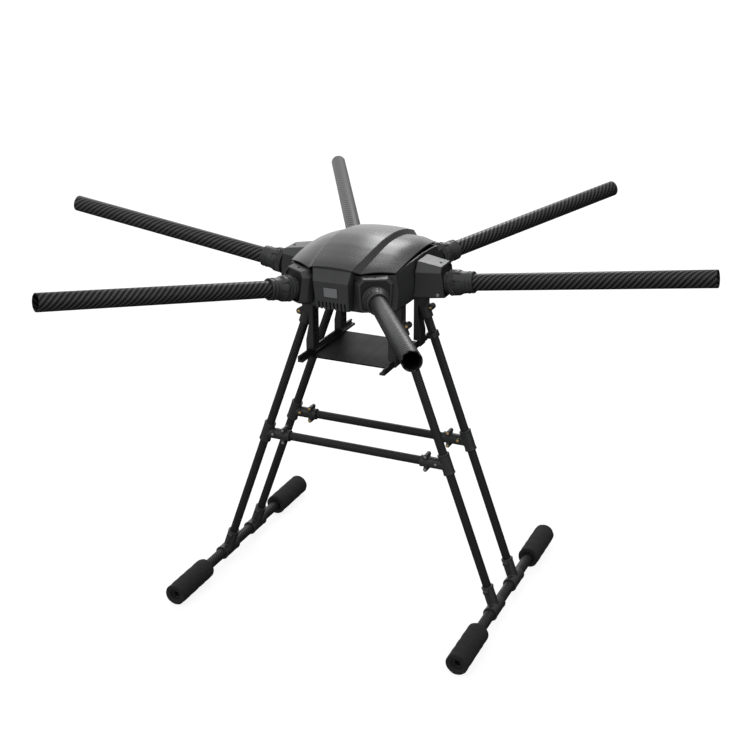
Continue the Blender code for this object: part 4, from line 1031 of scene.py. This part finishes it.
# ---------------------------------------------------------------- cross bars, skids, clamp
reach = CX - 0.0132
for name, sign in (("front", -1), ("rear", 1)):
    bar = to_mesh(lathe(pipe(-reach, reach, LEG_BORE, LEG_R), 64), "cross_bar_skin")
    place(bar, f"cross_bar_{name}_skin", CARBON_MATT, "airframe", UP @ Matrix.Translation((0, sign * BAR_Y, BAR_Z)), f"cross_bar_{name}", sharp=40.0)
quarter = Matrix.Rotation(math.radians(90), 4, "Z")
for name, sign in (("left", -1), ("right", 1)):
    skid = to_mesh(lathe(pipe(-SKID_HALF, SKID_HALF, SKID_BORE, SKID_R), 64), "skid_tube_skin")
    place(skid, f"skid_tube_{name}_skin", CARBON_SKID, "airframe", UP @ Matrix.Translation((sign * SKID_X, 0, SKID_Z)) @ quarter, f"skid_tube_{name}", sharp=40.0)

CLAMP_Z = -0.0990
clamp_frame = along(Vector((leg_x(CLAMP_Z), LEG_Y, CLAMP_Z)), LEG_FOOT)
clamp = worked(
    to_mesh(lathe(rod(-0.0055, 0.0055, 0.0112), 48), "leg_clamp_skin"),
    joins=[copied(to_mesh(block((-0.0050, -0.0180, -0.0040), (0.0050, 0.0180, 0.0040))), Matrix.Rotation(math.radians(-30), 4, "X"), "lug")],
    remesh=0.0006, smooth=4,
    late_cuts=[to_mesh(lathe(rod(-0.02, 0.02, LEG_R + 0.0003), 48), "leg")])
place(clamp, "leg_clamp_skin", FITTING, "airframe", UP @ clamp_frame, "leg_clamp", sharp=48.0)

# ---------------------------------------------------------------- screws on the hub
heads = []
for name in ARMS:
    m = FRAMES[name]
    up = (m.to_3x3() @ Vector((0, 0, 1))).normalized()
    s, h = 0.1500, 0.0337 + 0.307 * 0.0085
    normal = m.to_3x3() @ Vector((0.2935, 0, 0.9560))
    heads.append((m @ Vector((s, 0, h)), normal))
screws("socket_top_screws", OXIDE, "airframe", heads, 0.0021, 0.0012)

pins = []
for name in LONG:
    m = FRAMES[name]
    for t in (-1, 1):
        pins.append((m @ Vector((0.1476, t * 0.0271, -0.0150)), m.to_3x3() @ Vector((0.104, t, -0.082))))
screws("socket_side_pins", STEEL, "airframe", pins, 0.0034, 0.0016)

heads = []
for sx in (-1, 1):
    for sy in (-1, 1):
        heads.append((UP @ Vector((sx * 0.062, sy * 0.060, FLOOR_UNDER)), (0, 0, -1)))
        heads.append((UP @ Vector((sx * 0.030, sy * 0.112, FLOOR_UNDER)), (0, 0, -1)))
        heads.append((UP @ Vector((sx * 0.0700, sy * 0.0660, tray_top - TRAY_T)), (0, 0, -1)))
        heads.append((UP @ Vector((sx * 0.0400, sy * 0.0310, TUB_FLOOR + 0.0020)), (0, 0, 1)))
screws("plate_screws", OXIDE, "airframe", heads, 0.0027, 0.0014)

# ---------------------------------------------------------------- floor, light, camera
floor_mesh = to_mesh(slab(rounded(90.0, 90.0, 4.0), -0.05, 0.0), "floor")
floor = bpy.data.objects.new("studio_floor", floor_mesh)
SCENE.objects.link(floor)
fg = Graph("studio_floor_paint", Roughness=0.9)
fg.shader.inputs["Emission Strength"].default_value = 0.86
fg.shader.inputs["Emission Color"].default_value = (1.0, 1.0, 1.0, 1.0)
fg.to(fg.blend(fg.noise(3.0, 3.0), (0.17, 0.17, 0.17), (0.20, 0.20, 0.20)), "Base Color")
floor_mesh.materials.append(fg.material)
floor.visible_glossy = False
floor.visible_diffuse = False

FRONT_LOW, FRONT_HIGH, REAR_HIGH, GLOW, TOP = 0.22, 0.52, 0.22, 1.10, 0.62
world = bpy.data.worlds.new("studio")
bpy.context.scene.world = world
world.use_nodes = True
tree = world.node_tree
background = tree.nodes["Background"]
coords = tree.nodes.new("ShaderNodeTexCoord")
axis = tree.nodes.new("ShaderNodeSeparateXYZ")
tree.links.new(coords.outputs["Generated"], axis.inputs[0])


def sky(socket, low, high, out_low, out_high):
    node = tree.nodes.new("ShaderNodeMapRange")
    node.interpolation_type = "SMOOTHSTEP"
    tree.links.new(socket, node.inputs["Value"])
    for key, value in (("From Min", low), ("From Max", high), ("To Min", out_low), ("To Max", out_high)):
        node.inputs[key].default_value = value
    return node.outputs["Result"]


def sky_math(operation, a, b):
    node = tree.nodes.new("ShaderNodeMath")
    node.operation = operation
    for k, value in enumerate((a, b)):
        if isinstance(value, bpy.types.NodeSocket):
            tree.links.new(value, node.inputs[k])
        else:
            node.inputs[k].default_value = value
    return node.outputs[0]


# Fill in front of the object, a darker room behind it.
fill = sky_math("MULTIPLY", sky(axis.outputs["Y"], 0.40, -0.45, 0.0, 1.0), sky(axis.outputs["Z"], -0.9, 0.3, FRONT_LOW, FRONT_HIGH))
rear = sky_math("MULTIPLY", sky(axis.outputs["Y"], -0.45, 0.40, 0.0, 1.0), sky(axis.outputs["Z"], -0.12, 0.15, 0.02, REAR_HIGH))
glow = tree.nodes.new("ShaderNodeVectorMath")
glow.operation = "DOT_PRODUCT"
glow.inputs[1].default_value = Vector((-0.56, 0.80, 0.14)).normalized()
tree.links.new(coords.outputs["Generated"], glow.inputs[0])
side_glow = sky(glow.outputs["Value"], 0.82, 0.97, 0.0, GLOW)
above = sky(axis.outputs["Z"], 0.35, 0.70, 0.0, TOP)
total = sky_math("ADD", sky_math("ADD", fill, rear), sky_math("ADD", side_glow, above))
tree.links.new(total, background.inputs["Strength"])
background.inputs["Color"].default_value = (1.0, 1.0, 1.0, 1.0)


def area(name, location, target, size, radiance, size_y=None):
    light = bpy.data.lights.new(name, "AREA")
    light.shape = "RECTANGLE"
    light.size, light.size_y = size, size_y or size
    light.energy = radiance * math.pi * size * (size_y or size)
    obj = bpy.data.objects.new(name, light)
    SCENE.objects.link(obj)
    obj.location = location
    obj.rotation_euler = (Vector(target) - Vector(location)).to_track_quat("-Z", "Y").to_euler()
    obj.visible_camera = False
    return obj


middle = Vector((0, 0, 0.65))
area("back_key", (-0.65, 2.69, 2.64), middle, 1.0, 5.4, 1.45)
area("front_left_soft", (-2.8, -2.6, 2.2), middle, 1.4, 1.1)
area("front_right_soft", (3.0, -1.4, 1.8), middle, 1.2, 0.8)

camera_data = bpy.data.cameras.new("camera")
camera_data.lens, camera_data.sensor_width = 62.443, 36.0
camera_data.clip_start, camera_data.clip_end = 0.05, 200.0
camera = bpy.data.objects.new("camera", camera_data)
SCENE.objects.link(camera)
az, el, roll = math.radians(23.98272), math.radians(21.67469), math.radians(0.12637)
back = Vector((math.sin(az) * math.cos(el), -math.cos(az) * math.cos(el), math.sin(el)))
right = Vector((math.cos(az), math.sin(az), 0.0))
top = back.cross(right)
level = Matrix((right, top, back))
tilt = Matrix(((math.cos(roll), -math.sin(roll), 0), (math.sin(roll), math.cos(roll), 0), (0, 0, 1)))
pose = (tilt @ level).transposed().to_4x4()
pose.translation = Vector((0.9243, -2.0400, 1.3079))
camera.matrix_world = pose
bpy.context.scene.camera = camera
bpy.context.scene.view_settings.view_transform = "Standard"

import json
